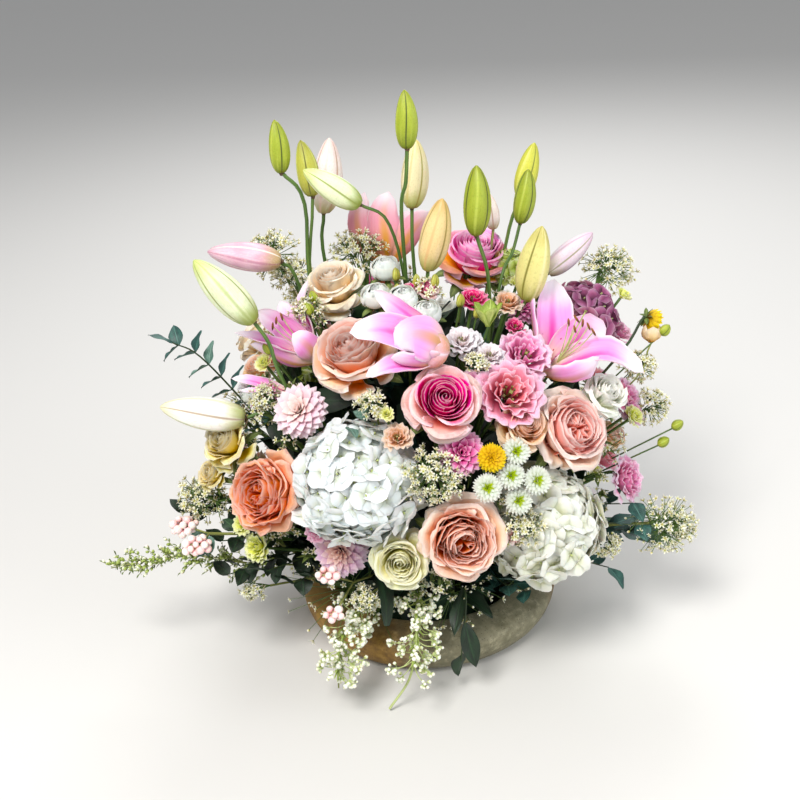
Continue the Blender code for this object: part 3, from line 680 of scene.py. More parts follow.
# buds: u is 0 on a tepal's rib and 1 in the crease between two tepals
budColours = {  # base, belly, tip, rib, crease and blush
    "budGreen": "7f8f1e 98a62a 8a9420 c2cf5a 3d4a10 b7c244",
    "budOlive": "85862a aead40 8d8c28 dbe48c 5a5a14 cbd07a",
    "budYellow": "93a02c c8c844 b5b634 e3e27c 6c7418 dcdc70",
    "budStraw": "8f9a34 ddd688 b8ad52 efe9b4 7d7a26 ece4ac",
    "budCream": "b5bd62 eee3b6 e0cf86 d3b86c a3983e f8f0d0",
    "budPeach": "a9ab55 e8ce92 cba660 dca56c 9a8438 f5dfb8",
    "budPale": "93a544 e2ebc0 c4cf78 8fa03c 92a04c f3f7e2",
    "budWhite": "b8c07c f2f2e8 e0ddb8 b4b878 b09c86 fdfdf8",
    "budPink": "b9a06a d8a4b8 c08a9e a05a74 efe3d6 ebcdd8",
    "budBlush": "b8b07a f5e8e2 ecd2cc e6c0b8 c59a84 fcf6f0",
    "budLilac": "a9a283 e4d3de d5b9cc b88ea6 9d9a78 f3eaf2",
    "budBulb": "d59b78 e3a3ac e7b6c6 b3a26a f6dfe8 f3cbd8",
}


def makeBudPaint(title, codes):
    base, belly, tip, ribColour, creaseColour, blush = map(ink, codes.split())
    shader, field = newPaint(title)
    place = field.read("place")
    u, v, _ = place
    spread = field.patches(place, 1.5, 2.0, 3.0)
    streak = field.patches(place, 16.0, 1.6, 3.0, 0.6)
    along = v + (spread - 0.5) * 0.3
    colour = along.between(0.0, 0.35).colours(base, belly)
    colour = along.between(0.68, 1.0).colours(colour, tip)
    colour = (spread.between(0.5, 0.75) * 0.6).colours(colour, blush)
    colour = (streak.between(0.55, 0.7) * 0.25).colours(colour, ribColour)
    rib = 1 - u.between(0.02, 0.16)
    colour = (rib * 0.55).colours(colour, ribColour)
    colour = (u.between(0.88, 0.98) * 0.95).colours(colour, creaseColour)
    colour = (field.patches(place, 9.0, 30.0).between(0.5, 0.7) * 0.18).colours(colour, creaseColour)
    apply(shader, {"Base Color": colour, "Roughness": 0.40 + 0.2 * spread,
                   "Normal": field.bump(streak, 0.35, 0.0006)},
          {"Subsurface Weight": 0.08, "Subsurface Scale": 0.003})


for title, codes in budColours.items():
    makeBudPaint(title, codes)
print("paints mixed:", len(paints))


# ---- petals and blooms: each bloom is built along +Z with a radius of about 1, then stood in its place
def rolledPetal(p):
    # a petal that climbs from the heart, leans out and rolls over at its rim, in shares of the radius
    def shape(u, v):
        s = v * (1 - p["corner"] * np.abs(u) ** 3 + p.get("point", 0) * (1 - np.abs(u)) ** 2)
        t = np.clip(s / p["rollFrom"], 0, 1)
        lean, top = p["lean"], p["top"]
        bendR = p["rim"] - sin(lean) * top * 0.6 + p["belly"]
        bendZ = top - cos(lean) * top * 0.6
        r = (1 - t) ** 2 * 0.06 + 2 * t * (1 - t) * bendR + t * t * p["rim"]
        z = 2 * t * (1 - t) * bendZ + t * t * top
        a = p["roll"] * np.clip((s - p["rollFrom"]) / (1 - p["rollFrom"]), 0, 1.15)
        curl = 1 + 0.5 * np.abs(u) ** 2
        r = r + p["rollRadius"] * (cos(lean) - np.cos(lean + a * curl))
        z = z + p["rollRadius"] * (np.sin(lean + a * curl) - sin(lean))
        loose = smooth(0.35, 1, s)
        wave = np.sin(p["waves"] * u * pi + p["phase"])
        r = r * (1 - p["pinch"] * u ** 2) + p["skew"] * u * t + p["ruffle"] * wave * loose
        z = z + p["ruffle"] * 0.7 * np.cos(p["waves"] * 1.37 * u * pi + p["phase"] * 2.3) * loose
        frill = p.get("frill", 0) * np.sin(p["waves"] * 5.3 * u * pi + p["phase"]) * smooth(0.72, 1, s)
        r = r + frill
        z = z + p.get("tilt", 0) * u * t + frill * 0.8
        turn = p["turn"] + u * p["half"] * blend(p["foot"], 1, smooth(0, 0.6, s))
        return np.stack([r * np.cos(turn), r * np.sin(turn), z], 1)
    return shape


def foldedPetal(turn, inner, outer, half, low, top, phase):
    # a petal folded like a U, its bend towards the middle of an old-fashioned rose
    def shape(u, v):
        flare = smooth(0.55, 1, v)
        r = blend(inner, outer, np.abs(u) ** 1.5) + 0.07 * flare * (1 - np.abs(u))
        r = r + 0.02 * np.sin(5 * u + phase) * v
        side = half * np.sin(u * pi / 2) * (1 + 0.12 * flare)
        z = blend(low, top, v ** 0.8) - 0.05 * flare ** 2 + 0.025 * np.cos(6 * u + phase) * v
        z = z - 0.10 * np.abs(u) ** 3 * v
        return turnedBy(turn, r, side, z)
    return shape


# each rose has a tight inner turn of petals, an open outer one, and a few that hang below
roseShapes = {
    "spiral": dict(inner=19, innerRim=(0.02, 0.52), outer=10, outerRim=(0.56, 0.80), skirt=5, height=1.14,
                   wave=(0.006, 0.030), waves=1.3, point=0.10, quarters=0, wild=0.05),
    "pointed": dict(inner=18, innerRim=(0.02, 0.46), outer=11, outerRim=(0.52, 0.78), skirt=5, height=1.22,
                    wave=(0.006, 0.026), waves=1.0, point=0.20, quarters=0, wild=0.06),
    "smooth": dict(inner=26, innerRim=(0.05, 0.60), outer=9, outerRim=(0.60, 0.82), skirt=5, height=1.20,
                   wave=(0.024, 0.026), waves=2.0, point=0.0, quarters=4, wild=0.09),
    "quartered": dict(inner=16, innerRim=(0.34, 0.62), outer=12, outerRim=(0.60, 0.82), skirt=6, height=0.98,
                      wave=(0.022, 0.044), waves=2.0, point=0.03, quarters=6, wild=0.09),
    "garden": dict(inner=22, innerRim=(0.20, 0.62), outer=12, outerRim=(0.62, 0.84), skirt=7, height=1.14,
                   wave=(0.032, 0.048), waves=2.2, point=0.02, quarters=5, wild=0.11),
    "crown": dict(inner=24, innerRim=(0.22, 0.66), outer=12, outerRim=(0.62, 0.82), skirt=5, height=1.08,
                  wave=(0.045, 0.058), waves=2.6, point=0.0, quarters=5, wild=0.13),
    "cup": dict(inner=20, innerRim=(0.03, 0.60), outer=10, outerRim=(0.58, 0.80), skirt=4, height=1.12,
                wave=(0.018, 0.040), waves=2.1, point=0.03, quarters=0, wild=0.09),
    "button": dict(inner=8, innerRim=(0.03, 0.20), outer=10, outerRim=(0.42, 0.78), skirt=0, height=1.22,
                   wave=(0.010, 0.014), waves=1.4, point=0.0, quarters=0, wild=0.05),
}


def addRose(pile, look, placed, kind):
    rose, chance, draw = roseShapes[kind], pile.chance, pile.chance.uniform
    wild, high, (calm, wavy) = rose["wild"], rose["height"], rose["wave"]
    closed = kind == "button"

    def vary(share):
        return draw(1 - share, 1 + share)

    for k in range(rose["quarters"]):
        turn = 2 * pi * (k + draw(-0.34, 0.34)) / rose["quarters"]
        for j in range(6):
            petal = foldedPetal(turn + 0.12 * j + draw(-0.2, 0.2), 0.01 + 0.065 * j * vary(0.3),
                                rose["innerRim"][0] * 0.6 + draw(0.20, 0.36),
                                (0.05 + 0.040 * j) * vary(0.25), 0.25,
                                high * (0.95 - 0.02 * j) + draw(-wild, wild) * 0.6, draw(0, 6))
            pile.sheet(petal, (8, 5), 0.018, look, draw(0, 0.3), 0.04 + 0.03 * j, placed)
    rings = [("inner", rose["inner"], *rose["innerRim"]), ("outer", rose["outer"], *rose["outerRim"]),
             ("skirt", rose["skirt"], 0.76, 0.80)]
    for ring, count, low, wide in rings:
        count = round(count * pile.crowd)
        for i in range(count):
            t = i / max(1, count - 1)
            petal = {"rim": blend(low, wide, t ** 0.9) * vary(wild),
                     "turn": i * goldenTurn + draw(-0.3, 0.3), "phase": draw(0, 6.3),
                     "waves": rose["waves"] * vary(0.35), "foot": 0.5, "tilt": chance.normal(0, wild * 0.8)}
            if ring == "inner":
                petal.update({
                    "top": high * (1.0 - 0.06 * t) * vary(wild * 0.5), "lean": radians(blend(-14, 14, t)),
                    "roll": radians(blend(25, 75, t) * vary(0.3)), "rollRadius": blend(0.016, 0.045, t),
                    "rollFrom": blend(0.95, 0.90, t), "half": radians(blend(115, 66, t ** 0.6) * vary(0.12)),
                    "skew": blend(0.02, 0.06, t), "ruffle": blend(calm * 0.6, calm * 1.4, t),
                    "belly": 0.08 * t, "corner": 0.05, "point": 0.0, "pinch": 0.02})
            elif ring == "outer" and closed:
                petal.update({
                    "rim": blend(0.12, 0.60, t), "top": high * blend(1.0, 0.74, t) * vary(wild), "skew": 0.05,
                    "lean": radians(blend(-34, -4, t)), "roll": radians(blend(10, 80, t) * vary(0.3)),
                    "rollRadius": 0.06, "rollFrom": 0.88, "half": radians(blend(82, 60, t) * vary(0.1)),
                    "ruffle": wavy, "belly": 0.42, "corner": 0.10, "point": rose["point"], "pinch": 0.04})
            elif ring == "outer":
                petal.update({
                    "top": high * blend(0.93, 0.58, t) * vary(wild), "skew": 0.07,
                    "lean": radians(blend(14, 62, t) + draw(-90, 90) * wild),
                    "roll": radians(blend(80, 150, t) * vary(0.25)),
                    "rollRadius": blend(0.05, 0.11, t) * vary(0.2), "rollFrom": blend(0.86, 0.72, t),
                    "half": radians(blend(60, 46, t) * vary(0.12)), "ruffle": blend(calm, wavy, t),
                    "frill": wavy * 0.28 * t, "belly": 0.16, "corner": 0.14,
                    "point": rose["point"], "pinch": 0.10})
            else:
                petal.update({
                    "top": high * draw(0.22, 0.40), "lean": radians(draw(72, 96)),
                    "roll": radians(draw(30, 110)), "rollRadius": 0.10, "rollFrom": 0.70,
                    "half": radians(38 * vary(0.15)), "skew": 0.05, "ruffle": wavy * 1.2,
                    "frill": wavy * 0.35, "belly": 0.20, "corner": 0.16, "point": rose["point"],
                    "pinch": 0.12})
            grid = {"inner": (8, 6), "outer": (11, 8), "skirt": (11, 7)}[ring]
            pile.sheet(rolledPetal(petal), grid, 0.015 if ring == "inner" else 0.019, look,
                       draw(0, 0.35) * (ring != "skirt"),
                       {"inner": 0.6 * t, "outer": 0.66 + 0.3 * t, "skirt": 1.0}[ring], placed)
    addSepals(pile, placed)


sepalShape = {"count": 5, "length": 0.9, "width": 0.15, "look": "oliveLeaf"}


def addSepals(pile, placed):
    # the small green leaves under a bloom
    count, length = sepalShape["count"], sepalShape["length"]
    for k in range(count):
        turn = 2 * pi * k / count + pile.chance.uniform(-0.2, 0.2)
        droop = pile.chance.uniform(0.1, 0.5)

        def shape(u, v):
            r = 0.08 + length * np.sin(v * 1.35)
            z = 0.02 - droop * v ** 2 * length * 0.6 + 0.12 * length * np.sin(v * 3)
            side = u * sepalShape["width"] * np.sin(pi * np.clip(v * 0.86 + 0.14, 0, 1)) ** 0.8
            return turnedBy(turn, r, side, z - 0.25 * side ** 2)
        pile.sheet(shape, (2, 6), 0.02, sepalShape["look"], 0.2, 0.5, placed)
    pile.tube([placedPoint(placed, (0, 0, z)) for z in (-0.10, 0.0, 0.14)],
              np.array([0.05, 0.13, 0.20]) * scaleOf(placed), 8, "stemGreen")


def addBall(pile, placed, ball):
    # rows of spoon petals over a ball, as on a dahlia or a button flower
    draw = pile.chance.uniform
    for i in range(ball["petals"]):
        t = (i + 0.5) / ball["petals"]
        polar = acos(1 - t * (1 - cos(radians(ball["reach"]))))
        turn = i * goldenTurn
        out = fromPole(polar, turn)
        inner = np.array([0, 0, 1.0]) - out * out[2]
        inner = unit(inner) if np.linalg.norm(inner) > 0.05 else np.array([cos(turn), sin(turn), 0])
        petalPlace = matrixOf(np.cross(out, inner), out, inner, (0, 0, ball["centre"]))
        opened = smooth(0.0, ball["openBy"], t)
        length = blend(*ball["length"], opened) * draw(0.95, 1.04)
        width = blend(*ball["width"], opened) * draw(0.92, 1.08)
        fold = radians(blend(*ball["fold"], opened))
        curl = ball["curl"] * opened * draw(0.4, 1.3)
        start = length * 0.35

        def shape(u, v):
            taper = np.sqrt(np.clip(1 - (np.clip(v - 0.66, 0, 1) / 0.34) ** 2.4 * 0.93, 0, 1))
            w = width * (0.45 + 0.55 * smooth(0, 0.6, v)) * taper
            a = u * fold * (1 - 0.35 * v)
            across = w * np.sin(a) / sin(fold)
            lift = w * (1 - np.cos(a)) * 0.9 - curl * smooth(0.55, 1, v) ** 2
            along = start + (length - start) * v * (1 - 0.05 * u ** 2)
            return np.stack([across, along, lift], 1)
        look = ball["heartLook"] if t < ball.get("heart", 0) else ball["look"]
        squashed = placed @ np.diag([1.0, 1.0, ball["flat"], 1.0])
        pile.sheet(shape, ball["grid"], 0.022, look, draw(0, 0.3), t, squashed @ petalPlace)


ballShapes = {
    "dahlia": dict(petals=92, reach=120, centre=0.42, flat=0.84, openBy=0.30, length=(0.56, 0.98),
                   width=(0.12, 0.225), fold=(62, 44), curl=0.07, grid=(4, 4)),
    "cupped": dict(petals=74, reach=116, centre=0.42, flat=0.86, openBy=0.30, length=(0.58, 0.98),
                   width=(0.12, 0.235), fold=(78, 66), curl=0.03, grid=(4, 4)),
    "frilly": dict(petals=96, reach=114, centre=0.36, flat=0.80, openBy=0.5, length=(0.55, 1.0),
                   width=(0.11, 0.20), fold=(58, 36), curl=0.14, grid=(4, 4)),
    "button": dict(petals=92, reach=102, centre=0.22, flat=0.72, openBy=0.42, length=(0.42, 1.0),
                   width=(0.06, 0.16), fold=(50, 46), curl=0.05, grid=(2, 4), heart=0.20),
}


ruffledShape = {"petals": 18, "open": 58, "eyes": 9}


def addRuffled(pile, look, placed, petals):
    # a ruffled double bloom: loose petals with waved rims round a small eye
    chance, draw = pile.chance, pile.chance.uniform
    for i in range(petals):
        t = i / (petals - 1)
        petal = {
            "rim": blend(0.18, 0.82, t ** 0.7) * draw(0.92, 1.06), "top": blend(0.86, 0.50, t ** 1.4),
            "lean": radians(blend(8, ruffledShape["open"], t)),
            "roll": radians(blend(30, 62, t) * draw(0.6, 1.3)),
            "rollRadius": 0.16, "rollFrom": 0.66, "half": radians(blend(58, 40, t)),
            "turn": i * goldenTurn + draw(-0.2, 0.2), "skew": 0.05, "ruffle": blend(0.035, 0.065, t),
            "waves": draw(2.2, 3.2), "belly": 0.05, "corner": 0.08, "foot": 0.35, "pinch": 0.05,
            "phase": draw(0, 6.3), "frill": blend(0.012, 0.024, t), "tilt": chance.normal(0, 0.06)}
        pile.sheet(rolledPetal(petal), (18, 6), 0.020, look, draw(0, 0.35), 0.15 + 0.85 * t, placed)
    for k in range(ruffledShape["eyes"]):
        out = radians(16) * (k > 0)
        way = np.array([sin(out) * cos(k * goldenTurn), sin(out) * sin(k * goldenTurn), 1])
        low, high = placedPoint(placed, (0, 0, 0.2)), placedPoint(placed, way * (0.66 if k else 0.74))
        thick = scaleOf(placed) * (0.030 if k else 0.05)
        radii = [thick * 0.5, thick * 0.5, thick * 1.3]
        pile.tube([low, blend(low, high, 0.85), high], radii, 4, "stemOlive")


hydrangeaShape = {"reach": 118, "jag": 0.05, "ball": (0.86, 0.86, 0.80), "centre": 0.50,
                  "eye": 0.075, "stalks": 24}


def addHydrangea(pile, look, placed, florets, floretSize):
    # four-petalled florets crowded over a ball
    chance, draw, jag = pile.chance, pile.chance.uniform, hydrangeaShape["jag"]
    for i in range(florets):
        t = (i + 0.5) / florets
        polar = acos(1 - t * (1 - cos(radians(hydrangeaShape["reach"]))))
        turn = i * goldenTurn + draw(-0.12, 0.12)
        polar += draw(-0.06, 0.06)
        out = fromPole(polar, turn)
        lump = 1 + 0.06 * sin(3 * turn + 2 * polar) + draw(-jag, jag)
        spot = out * np.array(hydrangeaShape["ball"]) * lump + np.array([0, 0, hydrangeaShape["centre"]])
        tipped = unit(out + chance.normal(0, 0.30, 3))
        own = placed @ stand(spot, tipped, floretSize * draw(0.85, 1.15), draw(0, 90))
        tint, wave = draw(0, 0.35) * (0.4 + 0.6 * t), draw(0, 6)
        for k in range(4):
            lifted = 0.05 if k % 2 else 0.0

            def shape(u, v):
                wide = 0.74 * np.sin(pi * np.clip(0.08 + 0.72 * v, 0, 1)) ** 0.62
                side = wide * np.sin(u * pi / 2)
                z = lifted + 0.22 * v ** 1.4 - 0.12 * smooth(0.6, 1, v) - 0.12 * side ** 2
                z = z + 0.06 * np.sin(3.5 * u + wave + k) * v
                r = 0.10 + 0.98 * v - 0.20 * np.abs(u) ** 2.2 * v
                return turnedBy(pi / 2 * k, r, side, z)
            pile.sheet(shape, (4, 3), 0.05, look, tint, t, own)
        eye = placedPoint(own, (0, 0, 0.02))
        size = scaleOf(placed) * floretSize * hydrangeaShape["eye"]
        top = eye + placed[:3, :3] @ tipped / scaleOf(placed) * size * 2.2
        pile.tube([eye, top], [size, size * 0.8], 5, "stemPale")
    core = placedPoint(placed, (0, 0, 0))
    for i in range(hydrangeaShape["stalks"]):
        out = unit(chance.normal(0, 1, 3) + np.array([0, 0, 0.6]))
        end = placedPoint(placed, out * 0.5 + np.array([0, 0, 0.3]))
        pile.tube([core, end], scaleOf(placed) * 0.02, 3, "stemPale")


# turns right, up and near, as the front is seen, into the frame's own axes
toFront = np.array([[1, 0, 0], [0, 0.446, -0.895], [0, 0.895, 0.446]])


def lilyPetal(spine, facing, width, fold, wave, phase):
    # a petal along a curved spine, its inner side looking along facing
    line = flowing(spine, 8)
    walked = np.concatenate([[0], np.cumsum(np.linalg.norm(np.diff(line, axis=0), axis=1))])
    walked = walked / walked[-1]
    slope = np.gradient(line, walked, axis=0)

    def shape(u, v):
        spot = np.stack([np.interp(v, walked, line[:, k]) for k in range(3)], 1)
        way = np.stack([np.interp(v, walked, slope[:, k]) for k in range(3)], 1)
        way /= np.linalg.norm(way, axis=1)[:, None]
        across = np.cross(way, unit(facing))
        across /= np.linalg.norm(across, axis=1)[:, None] + 1e-9
        normal = np.cross(across, way)
        tipped = np.sqrt(np.clip(1 - np.clip(v / 0.99, 0, 1) ** 3.4, 0, 1))
        broad = width * (0.34 + 0.66 * smooth(0, 0.48, v)) * tipped
        side = broad * np.sin(u * pi / 2)
        lift = broad * (fold * (np.abs(u) ** 1.6 - 0.3) - 0.12 * np.exp(-(u / 0.10) ** 2))
        ripple = np.sin(6 * v * pi + phase + 1.5 * np.sign(u))
        lift = lift + wave * broad * ripple * u ** 2 * smooth(0.3, 0.7, v)
        return spot + across * side[:, None] + normal * lift[:, None]
    return shape


lilyShape = {"fold": 0.40, "wave": 0.13, "thick": 0.0011, "anther": 0.0045,
             "antherRadii": np.array([0.3, 1.2, 1.4, 1.2, 0.3]) / 1000}


def addLily(pile, look, origin, lily):
    # petals and stamens along spines in millimetres to the right, up and near from the head's base
    draw = pile.chance.uniform

    def spotOf(point):
        return origin + toFront @ (np.array(point) / 1000)

    for spine, facing, width in lily["petals"]:
        petal = lilyPetal([spotOf(point) for point in spine], toFront @ np.array(facing, float), width / 1000,
                          lily.get("fold", lilyShape["fold"]), lilyShape["wave"], draw(0, 6))
        pile.sheet(petal, (10, 14), lilyShape["thick"], look, draw(0, 0.15), 0.3)
    if "bulb" in lily:
        low, high, radius = lily["bulb"]
        addBud(pile, "budBulb", spotOf(low), spotOf(high), radius / 1000)
    for tip in lily.get("stamens", []):
        throat, end = spotOf(lily["throat"]), spotOf(tip)
        path = flowing([throat, blend(throat, end, 0.6) + toFront @ np.array([0, -0.003, 0.003]), end], 4)
        pile.tube(path, 0.0006, 5, "stemPale")
        across = toFront @ np.array([draw(-0.6, 0.2), 1.0, draw(-0.3, 0.3)]) * lilyShape["anther"]
        pile.tube([end + across * f for f in (-1, -0.6, 0, 0.6, 1)], lilyShape["antherRadii"], 6, "anther")
    if "pistil" in lily:
        throat, end = spotOf(lily["throat"]), spotOf(lily["pistil"])
        pile.tube(flowing([throat, blend(throat, end, 0.5), end], 3), 0.0008, 6, "stemPale")
        pile.tube([end, end + unit(end - throat) * 0.002], [0.0011, 0.0018], 6, "stemOlive")


budShape = {"twist": 0.35, "bend": 0.02, "lobe": 0.05, "crease": 0.09, "rib": 0.045,
            "fineFrom": 0.007, "fine": (20, 24), "coarse": (8, 12)}


def addBud(pile, look, base, tip, radius):
    # a closed lily bud of three tepals: ribs down their backs and creases where they meet
    base, tip = np.asarray(base, float), np.asarray(tip, float)
    length = np.linalg.norm(tip - base)
    rings, sides = budShape["fine" if radius > budShape["fineFrom"] else "coarse"]
    along = np.linspace(0, 1, rings + 1)
    outline = (along + 0.035) ** 0.52 * (1 - along) ** 0.72 + 0.035
    outline = outline / outline.max()
    turn = np.arange(sides) * 2 * pi / sides
    start = pile.chance.uniform(0, 2)
    apart = np.abs((np.degrees(turn) % 120) / 60 - 1)  # 0 on a rib and 1 in a crease
    points, place = [], []
    for v, r in zip(along, outline):
        angle = turn + start + budShape["twist"] * v
        lobe = 1 + budShape["lobe"] * np.cos(turn * 3 + pi)
        lobe = lobe - budShape["crease"] * np.exp(-((1 - apart) / 0.10) ** 2) * (1 - 0.5 * v)
        lobe = lobe + budShape["rib"] * np.exp(-(apart / 0.09) ** 2)
        ring = radius * r * lobe
        bend = budShape["bend"] * length * sin(v * 2.6)
        level = np.full(sides, v * length)
        points.append(np.stack([ring * np.cos(angle) + bend, ring * np.sin(angle), level], 1))
        place.append(np.stack([apart, np.full(sides, v), np.full(sides, 0.0)], 1))
    points = np.vstack(points + [[[0, 0, 0]], [[budShape["bend"] * length * sin(2.6), 0, length * 1.004]]])
    place = np.vstack(place + [[[0.5, 0, 0]], [[0.5, 1, 0]]])
    place[:, 2] = pile.chance.uniform(0, making["patternSpread"])
    placed = stand(base, tip - base)
    pile.add(points, tubeFaces(rings + 1, sides), look, place, (0, 0, 0), place[:, :2], placed)


def leafBlade(length, width, droop, fold, wave=0.0, tip=1.0):
    # a leaf along +Y with its face up
    def shape(u, v):
        broad = width * np.sin(pi * np.clip(0.06 + 0.94 * v ** tip, 0, 1)) ** 0.85
        side = broad * u
        z = fold * np.abs(side) - droop * length * v ** 2 + wave * np.sin(9 * v + 2 * u) * np.abs(u) * width
        return np.stack([side, length * v * (1 - 0.12 * droop * v), z], 1)
    return shape


def addLeaf(pile, look, base, way, length, width, droop=0.25, fold=0.3, roll=0.0, grid=(2, 3), tint=0.0,
            wave=0.15, tip=1.0, thick=0.0006):
    # a leaf from base along way, rolled about it in degrees
    way = unit(way)
    side = np.cross(way, (0, 0, 1.0))
    side = unit(side) if np.linalg.norm(side) > 0.1 else np.array([1.0, 0, 0])
    up = np.cross(side, way)
    c, s = cos(radians(roll)), sin(radians(roll))
    placed = matrixOf(side * c + up * s, way, up * c - side * s, base)
    pile.sheet(leafBlade(length, width, droop, fold, wave, tip), grid, thick, look, tint, 0.5, placed)


def starModel(petals, lift, chance):
    # a tiny five-petalled flower: one closed star of few faces with a small eye
    count = petals * 3
    turn = np.arange(count) * 2 * pi / count
    reach = np.tile([0.34, 1.0, 1.0], petals) * chance.uniform(0.92, 1.08, count)
    height = np.tile([0.10, lift, lift], petals)
    rim = np.stack([reach * np.cos(turn), reach * np.sin(turn), height], 1)
    points = np.vstack([rim, [[0, 0, 0.12], [0, 0, -0.22]]])
    ring = np.arange(count)
    top = np.stack([np.full(count, count), ring, np.roll(ring, -1)], 1)
    low = np.stack([np.full(count, count + 1), np.roll(ring, -1), ring], 1)
    place = np.zeros((count + 2, 3))
    place[:count, 0] = np.tile([1.0, 0.2, 0.2], petals)
    place[:count, 1] = reach
    return points, [top, low], place, np.stack([points[:, 0] * 0.5 + 0.5, points[:, 1] * 0.5 + 0.5], 1)


def ballModel(rings, sides, long):
    # a small round bud or berry
    points = [[0, 0, -long]]
    for k in range(1, rings):
        a = pi * k / rings
        points += [[sin(a) * cos(t), sin(a) * sin(t), -long * cos(a)]
                   for t in np.arange(sides) * 2 * pi / sides]
    points = np.array(points + [[0, 0, long]])
    faces = [[0, 1 + (k + 1) % sides, 1 + k] for k in range(sides)]
    for r in range(rings - 2):
        a = 1 + r * sides
        faces += [[a + k, a + (k + 1) % sides, a + sides + (k + 1) % sides] for k in range(sides)]
        faces += [[a + k, a + sides + (k + 1) % sides, a + sides + k] for k in range(sides)]
    last, a = len(points) - 1, 1 + (rings - 2) * sides
    faces += [[last, a + k, a + (k + 1) % sides] for k in range(sides)]
    v = points[:, 2] / (2 * long) + 0.5
    place = np.stack([np.abs(np.arctan2(points[:, 1], points[:, 0])) / pi, v, np.zeros(len(points))], 1)
    return points, [np.array(faces)], place, place[:, :2]


def addModel(pile, model, look, placed, tint=0.0, layer=0.0):
    points, faces, place, mapped = model
    own = place.copy()
    own[:, 2] += pile.chance.uniform(0, making["patternSpread"])
    pile.add(points, faces, look, own, (tint, layer, 0.0), mapped, placed)


sprayShape = {"look": "starCream", "size": 0.0039, "twigs": "stemGreen", "flat": 0.8, "buds": 0.18,
              "lifts": (0.25, 0.42, 0.6)}


def addSpray(pile, root, middle, axis, radius, count, leafy=0):
    # thin twigs that fork from root and end in tiny flowers spread over a soft clump
    chance, draw = pile.chance, pile.chance.uniform
    axis, root, middle = unit(axis), np.asarray(root, float), np.asarray(middle, float)
    stars = [starModel(5, lift, chance) for lift in sprayShape["lifts"]]
    bud = ballModel(4, 5, 1.15)
    forks = []
    for k in range(max(5, count // 12)):
        way = unit(axis * 0.9 + chance.normal(0, 0.55, 3))
        spot = middle + way * radius * draw(0.15, 0.55) - axis * radius * 0.2
        forks.append(spot)
        path = flowing([root, blend(root, spot, 0.55) + chance.normal(0, 0.06, 3) * radius, spot], 3)
        pile.tube(path, np.linspace(0.0010, 0.0006, len(path)), 4, sprayShape["twigs"])
    for k in range(count):
        way = unit(axis * 0.55 + chance.normal(0, 0.8, 3))
        spot = middle + way * radius * draw(0.62, 1.08) * np.array([1, 1, sprayShape["flat"]])
        fork = min(forks, key=lambda f: np.linalg.norm(f - spot))
        pile.tube([fork, spot], 0.0004, 3, sprayShape["twigs"])
        facing = unit(way + chance.normal(0, 0.35, 3))
        small = draw(0, 1) < sprayShape["buds"]
        size = sprayShape["size"] * (0.42 if small else draw(0.8, 1.2))
        placed = stand(spot, facing, size, draw(0, 70))
        tint, layer = draw(0, 0.15), draw(0, 1)
        addModel(pile, bud if small else stars[k % 3], sprayShape["look"], placed, tint, layer)
    for k in range(leafy):
        fork = forks[k % len(forks)]
        addLeaf(pile, "oliveLeaf", fork, unit(axis + chance.normal(0, 0.8, 3)), 0.014, 0.003, grid=(2, 4))


def addStem(pile, path, radius, look="stemGreen", sides=6, apart=0.014):
    line = flowing(path, 5, apart)
    pile.tube(line, np.full(len(line), radius), sides, look)


def fromHeart(end, share=0.5):
    # the way of a stem from the heart, with a point at a share of it
    return [heart, blend(heart, end, share), end]


# ---- other finishes: anthers, berries, wax buds, floral foam and the bowl's glaze
def makePlainPaint(title, codes, roughness, size=900.0, softness=0.0, reach=0.003):
    first, second, third = map(ink, codes.split())
    shader, field = newPaint(title)
    place = field.read("place")
    tint = field.read("tone")[0]
    patch = field.patches(place, 1.5, 2.0)
    spots = field.noise(field.inObject(), size, 2.0)
    colour = (place[1] + (patch - 0.5) * 0.6).between(0.1, 0.8).colours(first, second)
    colour = (tint * 0.8).colours(colour, third)
    apply(shader, {"Base Color": colour, "Roughness": roughness + 0.15 * spots,
                   "Normal": field.bump(spots, 0.3, 0.0003)},
          {"Subsurface Weight": softness, "Subsurface Scale": reach} if softness else None)


makePlainPaint("anther", "5a3214 8a5424 3a200c", 0.8)
makePlainPaint("berryPink", "f4c2c0 fdf6f1 f0a4a8", 0.28, 500, 0.2)
makePlainPaint("waxBud", "aebc6c f6f6ea dfe2bc", 0.35, 900, 0.1, 0.002)
makePlainPaint("greenBud", "7c8f34 b9c870 66802a", 0.42)

# a speckled glaze: mottled clay, ochre with rusty drips on the left, a rusty right end, a painted highlight
# along the foot and the inside of the mouth painted dark as shade
bowlFinish = {"clay": "88836a", "shade": "6a664e", "light": "a8a388", "ochre": "a87e2c", "rust": "74501e",
              "speck": "3a3428", "inside": "2b2924", "footHighlight": "c4bda0"}


